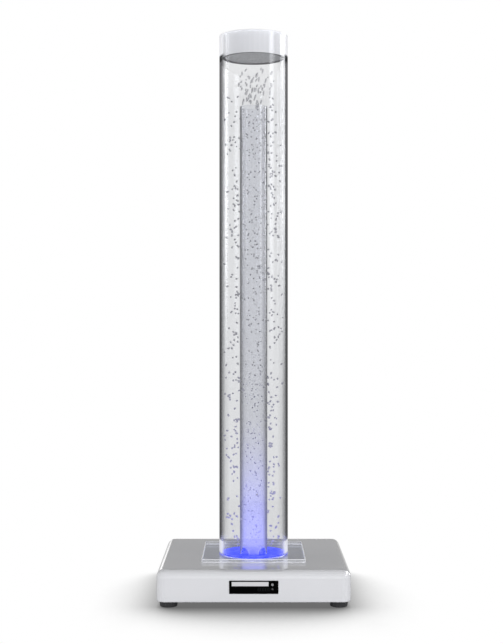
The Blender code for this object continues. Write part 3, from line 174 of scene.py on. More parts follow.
def open_foam(name, colour, cell):
    """Open-cell foam: pores darkened with painted shade between lighter ribs, with a deep soft grain."""
    foam = moulded(name, colour, roughness=0.92, grain=cell, relief=0.0006, drift=0.05, wear=0.05)
    tree = foam.node_tree
    surface = tree.nodes["Principled BSDF"]
    pores = shader_part(tree, "TexVoronoi", Scale=cell)
    depth = shader_part(tree, "MapRange", From_Min=0.1, From_Max=0.6)
    # Painted shade: darker in the pores, lighter on the ribs.
    tint = shader_part(tree, "MixRGB", Color1=shaded(colour, 0.55), Color2=shaded(colour, 1.25))
    bump = shader_part(tree, "Bump", Strength=0.8, Distance=0.0008)
    place = found_part(tree, "TexCoord")
    wire(tree, place, "Object", pores, "Vector")
    wire(tree, pores, "Distance", depth, "Value")
    wire(tree, depth, "Result", tint, "Fac")
    wire(tree, depth, "Result", bump, "Height")
    wire(tree, tint, "Color", surface, "Base Color")
    wire(tree, bump, "Normal", surface, "Normal")
    return foam


dress(open_foam("intake_foam", INTAKE_FOAM, cell=420.0), "intake_filter")


# Lit floor
# A round of opal acrylic, turned with a shallow dish so that beads roll to the middle, and with a groove
# for the inner tube. Blue lamps under it make the whole disc glow.
GLOW_BLUE = (0.008, 0.034, 0.95)
GLOW_PALE = (0.07, 0.11, 1.0)
UNLIT_OPAL = (0.03, 0.04, 0.30)
ROUND_STEPS = 128
SHARP_EDGE = math.radians(32.0)
MERGE_DISTANCE = 0.000001
SEAT_GAP = 0.0003
INNER_WALL = 0.003
NOZZLE_HOLE = 0.0208
FLOOR_SPIGOT = 0.0644
FLOOR_SEAT = 0.0773
FLOOR_RIM = 0.002
DISH_DEPTH = 0.003
DISH_FOOT = 0.0023


def finished(name, work, body, materials, replaced=()):
    """Turn a mesh in the making into a named piece that rides on a body and stands for CAD nodes."""
    bmesh.ops.remove_doubles(work, verts=work.verts, dist=MERGE_DISTANCE)
    for face in work.faces:
        face.smooth = True
    for edge in work.edges:
        edge.smooth = edge.calc_face_angle(0.0) < SHARP_EDGE
    mesh = bpy.data.meshes.new(name)
    work.to_mesh(mesh)
    work.free()
    for material in materials:
        mesh.materials.append(material)
    piece = bpy.data.objects.new(name, mesh)
    bpy.context.scene.collection.objects.link(piece)
    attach(piece, body)
    if replaced:
        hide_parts(*replaced)
    return piece


def spun(outline):
    """Turn a closed outline of (radius, height) points round the tubes' axis, as on a lathe."""
    work = bmesh.new()
    points = [work.verts.new((radius, 0.0, height)) for radius, height in outline]
    edges = [work.edges.new(pair) for pair in zip(points, points[1:] + points[:1])]
    bmesh.ops.spin(
        work, geom=points + edges, cent=(0.0, 0.0, 0.0), axis=(0.0, 0.0, 1.0), angle=math.tau,
        steps=ROUND_STEPS, use_merge=True,
    )
    bmesh.ops.remove_doubles(work, verts=work.verts, dist=MERGE_DISTANCE)
    bmesh.ops.recalc_face_normals(work, faces=work.faces)
    return work


def glowing_opal(name, deep, pale, strength):
    """Opal acrylic lit from below: clouds of paler blue, a soft skin and a little gloss."""
    opal = moulded(
        name, UNLIT_OPAL, roughness=0.35, grain=260.0, relief=0.00004, drift=0.10, gloss=0.15,
    )
    tree = opal.node_tree
    surface = tree.nodes["Principled BSDF"]
    place = found_part(tree, "TexCoord")
    patches = shader_part(tree, "TexNoise", Scale=60.0, Detail=3.0, Roughness=0.6)
    reach = shader_part(tree, "MapRange", From_Min=0.52, From_Max=0.70)
    tint = shader_part(tree, "MixRGB", Color1=(*deep, 1.0), Color2=(*pale, 1.0))
    wire(tree, place, "Object", patches, "Vector")
    wire(tree, patches, "Fac", reach, "Value")
    wire(tree, reach, "Result", tint, "Fac")
    wire(tree, tint, "Color", surface, "Emission Color")
    surface.inputs["Emission Strength"].default_value = strength
    return opal


floor_low, floor_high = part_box("tube_floor")
inner_low, inner_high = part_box("inner_tube")
inner_radius = inner_high[0]
inner_bore = inner_radius - INNER_WALL
underside = floor_low[2]
rim_top = floor_high[2]
dish_low = rim_top - DISH_DEPTH
groove = inner_low[2] - SEAT_GAP
floor_radius = floor_high[0]
floor_outline = [
    (NOZZLE_HOLE, underside), (FLOOR_SPIGOT, underside), (FLOOR_SPIGOT, FLOOR_SEAT),
    (floor_radius, FLOOR_SEAT), (floor_radius, rim_top), (floor_radius - FLOOR_RIM, rim_top),
    (inner_radius + DISH_FOOT, dish_low), (inner_radius + SEAT_GAP, dish_low),
    (inner_radius + SEAT_GAP, groove), (inner_bore - SEAT_GAP, groove),
    (inner_bore - SEAT_GAP, dish_low), (NOZZLE_HOLE, dish_low),
]
floor_opal = glowing_opal("floor_opal", GLOW_BLUE, GLOW_PALE, strength=1.25)
lit_floor = finished("lit_floor", spun(floor_outline), "root", [floor_opal], ["tube_floor"])


# Air nozzle
# A turned opal fitting pushed into the duct's riser and up through the lit floor, whose light it takes up.
# Its slotted steel screen stops beads from falling into the duct.
NOZZLE_BLUE = (0.08, 0.10, 0.98)
NOZZLE_PALE = (0.18, 0.21, 1.0)
dress(glowing_opal("nozzle_opal", NOZZLE_BLUE, NOZZLE_PALE, strength=1.1), "air_nozzle")
dress(bright_steel, "nozzle_screen")


# Clear flange
# A square plate of clear acrylic, laser cut, that clasps the outer tube's foot. Its faces are clear, and
# the rounded rims of its edges are frosted and have a painted glow, so they show as bright lines.
FLANGE_CLEAR = (0.940, 0.945, 0.955)
FLANGE_BODY = (0.55, 0.56, 0.58)
FLAT_LIMB = ((0.0, 0.0), (0.80, 0.0), (0.95, 0.05), (1.0, 0.4))
DRAWN_GRAIN = (60.0, 60.0, 1.5)
SHINE_WHITE = (0.95, 0.96, 1.0, 1.0)
GLANCE_CURVE = 5.0
GLANCE_SHINE = 0.13
SAWN_WHITE = (0.86, 0.87, 0.90)
CORNER_ROUND = 0.004
EDGE_ROUND = 0.0014
LEVEL_LIMIT = 0.001
CUT_SPARE = 0.001
OUTER_BAND = 0.01
FLAT_FACE = 0.98
UPRIGHT_FACE = 0.05


def sum_part(tree, operation, second=None, third=None):
    """Add a node that does one sum, with its second and third numbers where they are fixed."""
    part = tree.nodes.new("ShaderNodeMath")
    part.operation = operation
    if second is not None:
        part.inputs[1].default_value = second
    if third is not None:
        part.inputs[2].default_value = third
    return part


def ramp_part(tree, stops):
    """Add a ramp of colour through (place, colour) stops, lowest first."""
    part = tree.nodes.new("ShaderNodeValToRGB")
    ramp = part.color_ramp
    first, *between, last = stops
    ramp.elements[0].position, ramp.elements[1].position = first[0], last[0]
    ramp.elements[0].color = (*first[1], 1.0)
    ramp.elements[1].color = (*last[1], 1.0)
    for at, colour in between:
        ramp.elements.new(at).color = (*colour, 1.0)
    return part


def polished_acrylic(name, clear, edge, limb, mirroring=0.04):
    """Clear acrylic: see-through face on, darker where the eye looks along the wall, glossy all over."""
    sheet = bpy.data.materials.new(name)
    sheet.use_nodes = True
    tree = sheet.node_tree
    tree.nodes.remove(tree.nodes["Principled BSDF"])
    place = tree.nodes.new("ShaderNodeTexCoord")
    draw = shader_part(tree, "Mapping", Scale=DRAWN_GRAIN)
    ripple = shader_part(tree, "TexNoise", Scale=1.0, Detail=2.0)
    bump = shader_part(tree, "Bump", Strength=0.03, Distance=0.0001)
    polish = shader_part(tree, "MapRange", To_Min=0.008, To_Max=0.035)
    through = shader_part(tree, "BsdfTransparent", Color=(*clear, 1.0))
    wall = shader_part(tree, "BsdfPrincipled", Base_Color=(*edge, 1.0), Roughness=0.30)
    wall.inputs["Specular IOR Level"].default_value = 0.0
    shine = shader_part(tree, "BsdfGlossy", Color=SHINE_WHITE)
    lean = shader_part(tree, "LayerWeight", Blend=0.5)
    along = ramp_part(tree, [(at, (share, share, share)) for at, share in limb])
    steep = sum_part(tree, "POWER", second=GLANCE_CURVE)
    mirror = sum_part(tree, "MULTIPLY_ADD", second=GLANCE_SHINE, third=mirroring)
    depth = tree.nodes.new("ShaderNodeMixShader")
    face = tree.nodes.new("ShaderNodeMixShader")
    wire(tree, place, "Object", draw, "Vector")
    wire(tree, draw, "Vector", ripple, "Vector")
    wire(tree, ripple, "Fac", bump, "Height")
    wire(tree, ripple, "Fac", polish, "Value")
    wire(tree, polish, "Result", shine, "Roughness")
    wire(tree, bump, "Normal", shine, "Normal")
    wire(tree, lean, "Facing", along, "Fac")
    wire(tree, along, "Color", depth, "Fac")
    wire(tree, through, "BSDF", depth, 1)
    wire(tree, wall, "BSDF", depth, 2)
    wire(tree, lean, "Facing", steep, 0)
    wire(tree, steep, "Value", mirror, 0)
    wire(tree, mirror, "Value", face, "Fac")
    wire(tree, depth, "Shader", face, 1)
    wire(tree, shine, "BSDF", face, 2)
    wire(tree, face, "Shader", tree.nodes["Material Output"], "Surface")
    return sheet


def sawn(name, colour, roughness, relief, drift, glow, strength):
    """A frosted cut through clear acrylic, with a painted glow for the light the sheet gathers."""
    cut = moulded(name, colour, roughness, grain=500.0, relief=relief, drift=drift)
    surface = cut.node_tree.nodes["Principled BSDF"]
    surface.inputs["Emission Color"].default_value = (*glow, 1.0)
    surface.inputs["Emission Strength"].default_value = strength
    return cut


def block(size, height):
    """A block with its middle on the tubes' axis at a height."""
    work = bmesh.new()
    bmesh.ops.create_cube(work, size=1.0)
    bmesh.ops.scale(work, verts=work.verts, vec=size)
    bmesh.ops.translate(work, verts=work.verts, vec=(0.0, 0.0, height))
    return work


def rounded(work, edges, offset, segments):
    """Round some edges of a mesh in the making."""
    bmesh.ops.bevel(
        work, geom=edges, offset=offset, segments=segments, profile=0.5, affect="EDGES", material=-1,
    )


def cut_away(piece, cutter_work):
    """Cut a shape out of a piece for good and throw the cutter away."""
    mesh = bpy.data.meshes.new("cutter")
    cutter_work.to_mesh(mesh)
    cutter_work.free()
    cutter = bpy.data.objects.new("cutter", mesh)
    bpy.context.scene.collection.objects.link(cutter)
    saw = piece.modifiers.new("saw", "BOOLEAN")
    saw.operation = "DIFFERENCE"
    saw.solver = "EXACT"
    saw.object = cutter
    bpy.context.view_layer.update()
    ready = piece.evaluated_get(bpy.context.evaluated_depsgraph_get())
    result = bpy.data.meshes.new_from_object(ready)
    piece.modifiers.remove(saw)
    spare = piece.data
    piece.data = result
    bpy.data.meshes.remove(spare)
    bpy.data.objects.remove(cutter)
    bpy.data.meshes.remove(mesh)


def upright_drill(radius, bottom, top):
    """A round cutter along the tubes' axis."""
    drill = bmesh.new()
    bmesh.ops.create_cone(
        drill, cap_ends=True, segments=ROUND_STEPS, radius1=radius, radius2=radius, depth=top - bottom,
        matrix=Matrix.Translation((0.0, 0.0, (bottom + top) / 2)),
    )
    return drill


flange_clear = polished_acrylic("flange_clear", FLANGE_CLEAR, FLANGE_BODY, FLAT_LIMB)
sawn_edge = sawn(
    "sawn_edge", SAWN_WHITE, roughness=0.30, relief=0.00005, drift=0.06, glow=SAWN_WHITE, strength=0.16,
)
flange_low, flange_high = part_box("tube_flange")
outer_low, outer_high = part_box("outer_tube")
outer_radius = outer_high[0]
flange_size = (2 * flange_high[0], 2 * flange_high[1], flange_high[2] - flange_low[2])
plate = block(flange_size, (flange_low[2] + flange_high[2]) / 2)
upright = [edge for edge in plate.edges if abs(edge.verts[0].co.z - edge.verts[1].co.z) > LEVEL_LIMIT]
rounded(plate, upright, CORNER_ROUND, segments=6)
rims = [edge for edge in plate.edges if abs(edge.verts[0].co.z - edge.verts[1].co.z) < LEVEL_LIMIT]
rounded(plate, rims, EDGE_ROUND, segments=3)
clear_flange = finished("clear_flange", plate, "root", [flange_clear, sawn_edge], ["tube_flange"])
flange_bore = upright_drill(outer_radius + SEAT_GAP, flange_low[2] - CUT_SPARE, flange_high[2] + CUT_SPARE)
cut_away(clear_flange, flange_bore)
for face in clear_flange.data.polygons:
    outside = max(abs(face.center.x), abs(face.center.y)) > outer_radius + OUTER_BAND
    face.material_index = 1 if outside and UPRIGHT_FACE < abs(face.normal.z) < FLAT_FACE else 0
    face.use_smooth = abs(face.normal.z) < FLAT_FACE


# Outer tube
# Stock clear acrylic tube, 150 mm across with a 5 mm wall, sawn to length and polished. It stands on the
# base inside the flange, and its wall looks dark where the eye runs along it. Its wall's colour is painted
# by height and glows a little: painted light at its foot, a painted blue glow where the lit floor meets it,
# painted shade that lightens upwards, a painted dark band for the cap's underside, and the cap's grey
# painted in behind the cap, so that the wall looks light there.
OUTER_WALL = 0.005
OUTER_CLEAR = (0.880, 0.883, 0.887)
OUTER_EDGE = (0.05, 0.05, 0.05)
OUTER_LIMB = (
    (0.28, 0.0),
    (0.43, 0.10),
    (0.475, 0.20),
    (0.525, 0.31),
    (0.584, 0.40),
    (0.656, 0.68),
    (0.749, 0.89),
    (1.0, 0.95),
)
CROWN_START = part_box("filter_ring")[0][2]
CROWN_SPAN = 1.25
FOOT_PAINTED_LIGHT = (0.80, 0.81, 0.84)
FOOT_PAINTED_BLUE_GLOW = (0.01, 0.03, 0.95)
UNDERSIDE_PAINTED_DARK = (0.002, 0.002, 0.002)
WALL_PAINTED_CAP_GREY = (0.86, 0.865, 0.895)
# Painted wall colours by height: painted light at the foot, a painted blue glow at the lit floor, painted
# shade that lightens upwards, a painted dark band for the cap's underside and the cap's grey painted in
# above it.
OUTER_CROWN = (
    (0.0, FOOT_PAINTED_LIGHT),
    (0.0772, FOOT_PAINTED_LIGHT),
    (0.0778, FOOT_PAINTED_BLUE_GLOW),
    (0.0816, FOOT_PAINTED_BLUE_GLOW),
    (0.0822, FOOT_PAINTED_LIGHT),
    (0.108, FOOT_PAINTED_LIGHT),
    (0.113, (0.030, 0.030, 0.032)),
    (0.60, (0.036, 0.036, 0.038)),
    (1.00, (0.10, 0.10, 0.104)),
    (1.148, (0.12, 0.12, 0.125)),
    (1.1505, UNDERSIDE_PAINTED_DARK),
    (1.1625, UNDERSIDE_PAINTED_DARK),
    (1.1637, WALL_PAINTED_CAP_GREY),
    (CROWN_SPAN, WALL_PAINTED_CAP_GREY),
)
# Painted light: the wall's see-through colour turns paler over the last 10 cm under the cap.
LIT_CLEAR = (0.97, 0.97, 0.97, 1.0)
PALER_REACH = 0.10
PAINTED_CAP_FROM = CROWN_START - 0.012
PAINTED_CAP_TO = CROWN_START - 0.010
PAINTED_FOOT_FROM = 0.108
PAINTED_FOOT_TO = 0.112
PAINTED_FOOT_SHARE = 0.9
TURN_FROM = 0.45
TURN_TO = 0.62
TURN_SHARE = 0.96
WALL_PAINTED_GLOW = 0.28
OUTER_LINING_CLEAR = (0.962, 0.964, 0.967)
OUTER_LINING_EDGE = (0.10, 0.10, 0.10)
LINING_LIMB = ((0.0, 0.0), (0.9, 0.0), (1.0, 0.1))
END_WHITE = (0.72, 0.73, 0.74)
END_GLOW = (0.62, 0.625, 0.655)
FOOT_LENGTH = 0.025
LEVEL_FACE = 0.5


def crowned(sheet, clear, crown):
    """Paint light, shade and glow into a tube's wall by its height, and let that paint fill it behind the
    cap and in the flange.
    """
    tree = sheet.node_tree
    through = found_part(tree, "BsdfTransparent")
    wall = found_part(tree, "BsdfPrincipled")
    height = tree.nodes.new("ShaderNodeSeparateXYZ")
    share = sum_part(tree, "DIVIDE", second=CROWN_SPAN)
    rise = ramp_part(tree, [(at / CROWN_SPAN, colour) for at, colour in crown])
    painted_cap_fill = shader_part(tree, "MapRange", From_Min=PAINTED_CAP_FROM, From_Max=PAINTED_CAP_TO)
    paler = shader_part(tree, "MapRange", From_Min=CROWN_START - PALER_REACH, From_Max=CROWN_START)
    lit = shader_part(tree, "MixRGB", Color1=(*clear, 1.0), Color2=LIT_CLEAR)
    wire(tree, found_part(tree, "TexCoord"), "Object", height, "Vector")
    wire(tree, height, "Z", share, 0)
    wire(tree, share, "Value", rise, "Fac")
    wire(tree, rise, "Color", wall, "Base Color")
    # The wall glows with its painted colours, though it is no lamp.
    wire(tree, rise, "Color", wall, "Emission Color")
    wall.inputs["Emission Strength"].default_value = WALL_PAINTED_GLOW
    wire(tree, height, "Z", painted_cap_fill, "Value")
    wire(tree, height, "Z", paler, "Value")
    wire(tree, paler, "Result", lit, "Fac")
    wire(tree, lit, "Color", through, "Color")
    filling(tree, height, painted_cap_fill)


def filling(tree, height, painted_cap_fill):
    """Make a wall solid to look at where it turns from the eye, behind the cap and in the flange, so its
    painted colours show there.
    """
    lean = found_part(tree, "LayerWeight")
    along = found_part(tree, "ValToRGB")
    depth = found_part(tree, "MixShader")
    spread = shader_part(tree, "MapRange", From_Min=TURN_FROM, From_Max=TURN_TO, To_Max=TURN_SHARE)
    painted_foot_fill = shader_part(tree, "MapRange", From_Min=PAINTED_FOOT_FROM, From_Max=PAINTED_FOOT_TO, To_Max=0.0)
    painted_foot_fill.inputs["To Min"].default_value = PAINTED_FOOT_SHARE
    ends = sum_part(tree, "MAXIMUM")
    filled = sum_part(tree, "MULTIPLY")
    most = sum_part(tree, "MAXIMUM")
    wire(tree, lean, "Facing", spread, "Value")
    wire(tree, spread, "Result", filled, 0)
    wire(tree, height, "Z", painted_foot_fill, "Value")
    wire(tree, painted_cap_fill, "Result", ends, 0)
    wire(tree, painted_foot_fill, "Result", ends, 1)
    wire(tree, ends, "Value", filled, 1)
    wire(tree, filled, "Value", most, 0)
    wire(tree, along, "Color", most, 1)
    wire(tree, most, "Value", depth, "Fac")


def tube(name, bore, radius, bottom, top, skin, lining, replaced):
    """A closed length of tube with a finish each for its outside, its bore and its sawn ends."""
    joint = bottom + FOOT_LENGTH
    outside = [(radius, bottom), (radius, joint), (radius, top)]
    work = spun([(bore, bottom), *outside, (bore, top), (bore, joint)])
    middle = (bore + radius) / 2
    for face in work.faces:
        if abs(face.normal.z) > LEVEL_FACE:
            face.material_index = 2
        else:
            face.material_index = 1 if face.calc_center_median().xy.length < middle else 0
    piece = finished(name, work, "root", [skin, lining, sawn_end], replaced)
    return piece


outer_skin = polished_acrylic("outer_skin", OUTER_CLEAR, OUTER_EDGE, OUTER_LIMB)
crowned(outer_skin, OUTER_CLEAR, OUTER_CROWN)
outer_lining = polished_acrylic("outer_lining", OUTER_LINING_CLEAR, OUTER_LINING_EDGE, LINING_LIMB)
# The tube's sawn ends have a stronger painted glow.
sawn_end = sawn(
    "sawn_end", END_WHITE, roughness=0.35, relief=0.00004, drift=0.05, glow=END_GLOW, strength=0.6,
)
tube(
    "outer_tube_clear", outer_radius - OUTER_WALL, outer_radius, outer_low[2], outer_high[2],
    outer_skin, outer_lining, ["outer_tube"],
)


# Inner tube
# Stock clear acrylic tube, 60 mm across with a 3 mm wall, that carries the beads up. Four round-topped
# arches cut in its foot let fallen beads back in, and its lowest part has a painted blue glow, fading
# upwards, for the floor's light among the beads.
INNER_CLEAR = (0.925, 0.928, 0.945)
INNER_EDGE = (0.10, 0.10, 0.11)
INNER_LIMB = ((0.10, 0.0), (0.30, 0.06), (0.40, 0.20), (0.48, 0.46), (0.60, 0.60), (1.0, 0.66))
INNER_LINING_CLEAR = (0.955, 0.957, 0.965)
INNER_LINING_EDGE = (0.20, 0.20, 0.22)
BORE_LIMB = ((0.0, 0.0), (0.30, 0.05), (0.48, 0.16), (0.62, 0.10), (0.80, 0.02), (1.0, 0.02))
PAINTED_GLOW_BLUE = (0.46, 0.48, 1.36, 1.0)
PAINTED_GLOW_SHARE = 0.50
PAINTED_GLOW_FOOT_SHARE = 0.15
PAINTED_GLOW_STRENGTH = 1.5
PAINTED_GLOW_BOTTOM = 0.075
PAINTED_GLOW_TOP = 0.40
PAINTED_GLOW_FOOT = 0.078
PAINTED_GLOW_FULL = 0.094
ARCH_HALF = 0.012
ARCH_HEIGHT = 0.015
ARCH_SPRING = dish_low + ARCH_HEIGHT - ARCH_HALF
ARCH_TUNNEL = 0.07
SLIT_HEIGHT = 0.02
QUARTER = math.radians(90.0)


def paint_blue_glow(sheet):
    """Paint a blue glow into a tube's foot, for the floor's light among the beads, that fades away upwards
    and is thinner at the very bottom.
    """
    tree = sheet.node_tree
    through = found_part(tree, "BsdfTransparent")
    depth = found_part(tree, "MixShader")
    height = tree.nodes.new("ShaderNodeSeparateXYZ")
    fade = shader_part(tree, "MapRange", From_Min=PAINTED_GLOW_BOTTOM, From_Max=PAINTED_GLOW_TOP, To_Min=1.0, To_Max=0.0)
    soft = sum_part(tree, "POWER", second=2.0)
    much = sum_part(tree, "MULTIPLY")
    low = shader_part(tree, "MapRange", From_Min=PAINTED_GLOW_FOOT, From_Max=PAINTED_GLOW_FULL)
    low.inputs["To Min"].default_value = PAINTED_GLOW_FOOT_SHARE
    low.inputs["To Max"].default_value = PAINTED_GLOW_SHARE
    painted_glow = shader_part(tree, "Emission", Color=PAINTED_GLOW_BLUE, Strength=PAINTED_GLOW_STRENGTH)
    blend = tree.nodes.new("ShaderNodeMixShader")
    wire(tree, found_part(tree, "TexCoord"), "Object", height, "Vector")
    wire(tree, height, "Z", fade, "Value")
    wire(tree, fade, "Result", soft, 0)
    wire(tree, soft, "Value", much, 0)
    wire(tree, height, "Z", low, "Value")
    wire(tree, low, "Result", much, 1)
    wire(tree, much, "Value", blend, "Fac")
    wire(tree, through, "BSDF", blend, 1)
    wire(tree, painted_glow, "Emission", blend, 2)
    wire(tree, blend, "Shader", depth, 1)


inner_skin = polished_acrylic("inner_skin", INNER_CLEAR, INNER_EDGE, INNER_LIMB, mirroring=0.08)
paint_blue_glow(inner_skin)
inner_lining = polished_acrylic("inner_lining", INNER_LINING_CLEAR, INNER_LINING_EDGE, BORE_LIMB)
inner_clear = tube(
    "inner_tube_clear", inner_bore, inner_radius, inner_low[2], inner_high[2],
    inner_skin, inner_lining, ["inner_tube"],
)
for turn in (math.radians(45.0), math.radians(135.0)):
    tunnel = bmesh.new()
    bmesh.ops.create_cone(
        tunnel, cap_ends=True, segments=32, radius1=ARCH_HALF, radius2=ARCH_HALF, depth=ARCH_TUNNEL,
        matrix=Matrix.Translation((0.0, 0.0, ARCH_SPRING)) @ Matrix.Rotation(QUARTER, 4, "X"),
    )
    slit = block((2 * ARCH_HALF, ARCH_TUNNEL, SLIT_HEIGHT), ARCH_SPRING - SLIT_HEIGHT / 2)
    for cutter in (tunnel, slit):
        bmesh.ops.rotate(cutter, verts=cutter.verts, matrix=Matrix.Rotation(turn, 3, "Z"))
        cut_away(inner_clear, cutter)


# Beads
# Some hundreds of expanded polystyrene beads, about 3 to 4.5 mm across, caught in flight: carried up the
# inner tube by the air, thrown about over its mouth, and falling as snow between the tubes.
BEAD_RADIUS = 0.0020
BEAD_SIDES = 8
BEAD_RINGS = 5
BEAD_FACES = BEAD_SIDES * BEAD_RINGS
HANDFUL = 16
BEAD_GLOW = (0.22, 0.20, 1.0, 1.0)
BEAD_LIT = 0.30
FOAM_GREY = (0.45, 0.445, 0.49)
FOAM_DARK = (0.27, 0.265, 0.29)
FOAM_PALE = (0.90, 0.90, 0.95)
FOAM_PLAIN = (0.62, 0.62, 0.64)
SNOW_INSIDE = 0.0355
SNOW_OUTSIDE = 0.0650
SNOW_LOWEST = 0.095
SNOW_HIGHEST = inner_high[2] + 0.02
MIDDLE_HALF = 0.031
MIDDLE_SPARED = 0.88
RISING_REACH = 0.023
RISING_LOWEST = 0.100
TURNING_LOWEST = inner_high[2] + 0.004
TURNING_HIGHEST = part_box("top_cap")[0][2] - 0.026
TURNING_WIDEST = 1.16
TURNING_REACH = 0.030
snow = random.Random(7)


def snowy(name, colour, lit):
    """Polystyrene foam: matt and finely celled, with a painted blue glow, strongest low down, for the lit
    floor shining up at it.
    """
    foam = moulded(name, colour, roughness=0.75, grain=900.0, relief=0.0001, drift=0.15)
    tree = foam.node_tree
    surface = tree.nodes["Principled BSDF"]
    place = found_part(tree, "TexCoord")
    height = tree.nodes.new("ShaderNodeSeparateXYZ")
    reach = shader_part(tree, "MapRange", From_Min=0.08, From_Max=0.50, To_Min=lit, To_Max=0.0)
    wire(tree, place, "Object", height, "Vector")
    wire(tree, height, "Z", reach, "Value")
    wire(tree, reach, "Result", surface, "Emission Strength")
    surface.inputs["Emission Color"].default_value = BEAD_GLOW
    return foam


def bead_at(work, centre, radius, stretch=1.0, lean=None):
    """Add one bead, drawn out along its flight where it moves fast."""
    turn = lean.to_matrix().to_4x4() if lean else Matrix.Identity(4)
    shape = Matrix.Translation(centre) @ turn @ Matrix.Diagonal((1.0, 1.0, stretch, 1.0))
    bmesh.ops.create_uvsphere(
        work, u_segments=BEAD_SIDES, v_segments=BEAD_RINGS, radius=radius, matrix=shape,
    )


def scattered(name, count, spot, foams, size=1.0):
    """A cloud of beads whose places and sizes come from one seeded source, with its foams by turns."""
    work = bmesh.new()
    handful = bpy.data.meshes.new("handful")
    for start in range(0, count, HANDFUL):
        few = bmesh.new()
        for _ in range(min(HANDFUL, count - start)):
            centre, stretch, lean = spot()
            bead_at(few, centre, size * BEAD_RADIUS * snow.uniform(0.85, 1.15), stretch, lean)
        few.to_mesh(handful)
        few.free()
        work.from_mesh(handful)
    bpy.data.meshes.remove(handful)
    cloud = finished(name, work, "root", foams)
    for face in cloud.data.polygons:
        face.material_index = face.index // BEAD_FACES % len(foams)


def about_axis(radius, angle, height):
    """A place at a distance from the tubes' axis."""
    return Vector((radius * math.cos(angle), radius * math.sin(angle), height))


def leaning(least, most, tip):
    """A turn out of the upright: sideways between two angles, and fore or aft by up to the last one."""
    sideways = Matrix.Rotation(snow.uniform(least, most), 3, "Y")
    return (sideways @ Matrix.Rotation(snow.uniform(-tip, tip), 3, "X")).to_quaternion()


def falling_spot():
    """A place between the tubes, seldom in front of the inner tube or behind it."""
    radius = snow.uniform(SNOW_INSIDE, SNOW_OUTSIDE)
    angle = snow.uniform(0.0, math.tau)
    while abs(radius * math.cos(angle)) < MIDDLE_HALF and snow.random() < MIDDLE_SPARED:
        angle = snow.uniform(0.0, math.tau)
    height = SNOW_LOWEST + (SNOW_HIGHEST - SNOW_LOWEST) * snow.random() ** 0.95
    lean = leaning(0.0, math.pi, 0.5)
    return about_axis(radius, angle, height), snow.uniform(1.0, 1.8), lean


def rising_spot():
    """A place in the inner tube's bore."""
    radius = RISING_REACH * math.sqrt(snow.random())
    angle = snow.uniform(0.0, math.tau)
    height = snow.uniform(RISING_LOWEST, inner_high[2])
    return about_axis(radius, angle, height), 1.0, None


def turning_spot():
    """A place over the inner tube's mouth, drawn out along the bead's path."""
    height = snow.uniform(TURNING_LOWEST, TURNING_HIGHEST)
    share = (height - inner_high[2]) / (TURNING_WIDEST - inner_high[2])
    radius = (TURNING_REACH + TURNING_REACH * share) * math.sqrt(snow.random())
    angle = snow.uniform(0.0, math.tau)
    lean = leaning(-0.15, 0.55, 0.4)
    return about_axis(radius, angle, height), snow.uniform(1.2, 3.2), lean


bead_foam = snowy("bead_foam", FOAM_GREY, BEAD_LIT)
bead_dark = snowy("bead_dark", FOAM_DARK, BEAD_LIT)
bead_pale = snowy("bead_pale", FOAM_PALE, BEAD_LIT)
bead_grey = snowy("bead_grey", FOAM_PLAIN, lit=0.0)
scattered("falling_beads", 410, falling_spot, [bead_foam])
scattered("rising_beads", 380, rising_spot, [bead_dark, bead_pale, bead_dark], size=0.80)
scattered("turning_beads", 66, turning_spot, [bead_grey])


# Cap
# A light grey moulded plug that hangs in the outer tube's mouth by its thin lip, with radial vents in its
# top. Under it a round of grey filter foam, held by a ring, lets the air out and keeps the beads in.
CAP_GREY = (0.80, 0.805, 0.835)
FILTER_GREY = (0.46, 0.465, 0.48)
RING_DARK = (0.10, 0.10, 0.105)
dress(moulded("cap_grey", CAP_GREY, roughness=0.40, grain=900.0, relief=0.00001, drift=0.015), "top_cap")
dress(open_foam("filter_foam", FILTER_GREY, cell=300.0), "cap_filter")
dress(open_foam("ring_dark", RING_DARK, cell=500.0), "filter_ring")


# Control panel
# A gloss black bezel let into the front, with a pale display pane, a round power button, a lamp under it
# and a row of narrow black keys. Board and display sit behind it, held by two screws.
BEZEL_BLACK = (0.001, 0.001, 0.0012)
KEY_BLACK = (0.004, 0.004, 0.0045)
BUTTON_GREY = (0.27, 0.27, 0.28)
SMOKE_GREY = (0.055, 0.055, 0.058)
PANE_GREY = (0.60, 0.60, 0.62)
PANE_EDGE_BLACK = (0.01, 0.01, 0.012, 1.0)
BOARD_GREEN = (0.010, 0.090, 0.030)
PANE_EDGE = 0.0012
PANE_FIELD = 0.0018
bezel_black = moulded(
    "bezel_black", BEZEL_BLACK, roughness=0.16, grain=1600.0, relief=0.000004, drift=0.2, gloss=0.02,
)
key_black = moulded(
    "key_black", KEY_BLACK, roughness=0.38, grain=1600.0, relief=0.00001, drift=0.2, gloss=0.05,
)
button_grey = moulded("button_grey", BUTTON_GREY, roughness=0.34, grain=1600.0, relief=0.00001)
lamp_smoke = moulded("lamp_smoke", SMOKE_GREY, roughness=0.18, grain=1600.0, relief=0.000004)
pane_grey = moulded("pane_grey", PANE_GREY, roughness=0.12, grain=1600.0, relief=0.000004)
board_green = moulded(
    "board_green", BOARD_GREEN, roughness=0.45, grain=420.0, relief=0.00006, drift=0.35,
)
dress(bezel_black, "panel_bezel")
dress(key_black, "key_1", "key_2", "key_3", "key_4", "key_5")
dress(button_grey, "power_button")
dress(lamp_smoke, "status_lamp")
pane_tree = pane_grey.node_tree
pane_place = found_part(pane_tree, "TexCoord")
pane_drift = found_part(pane_tree, "MixRGB")
pane_height = pane_tree.nodes.new("ShaderNodeSeparateXYZ")
pane_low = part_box("display_window")[0][2]
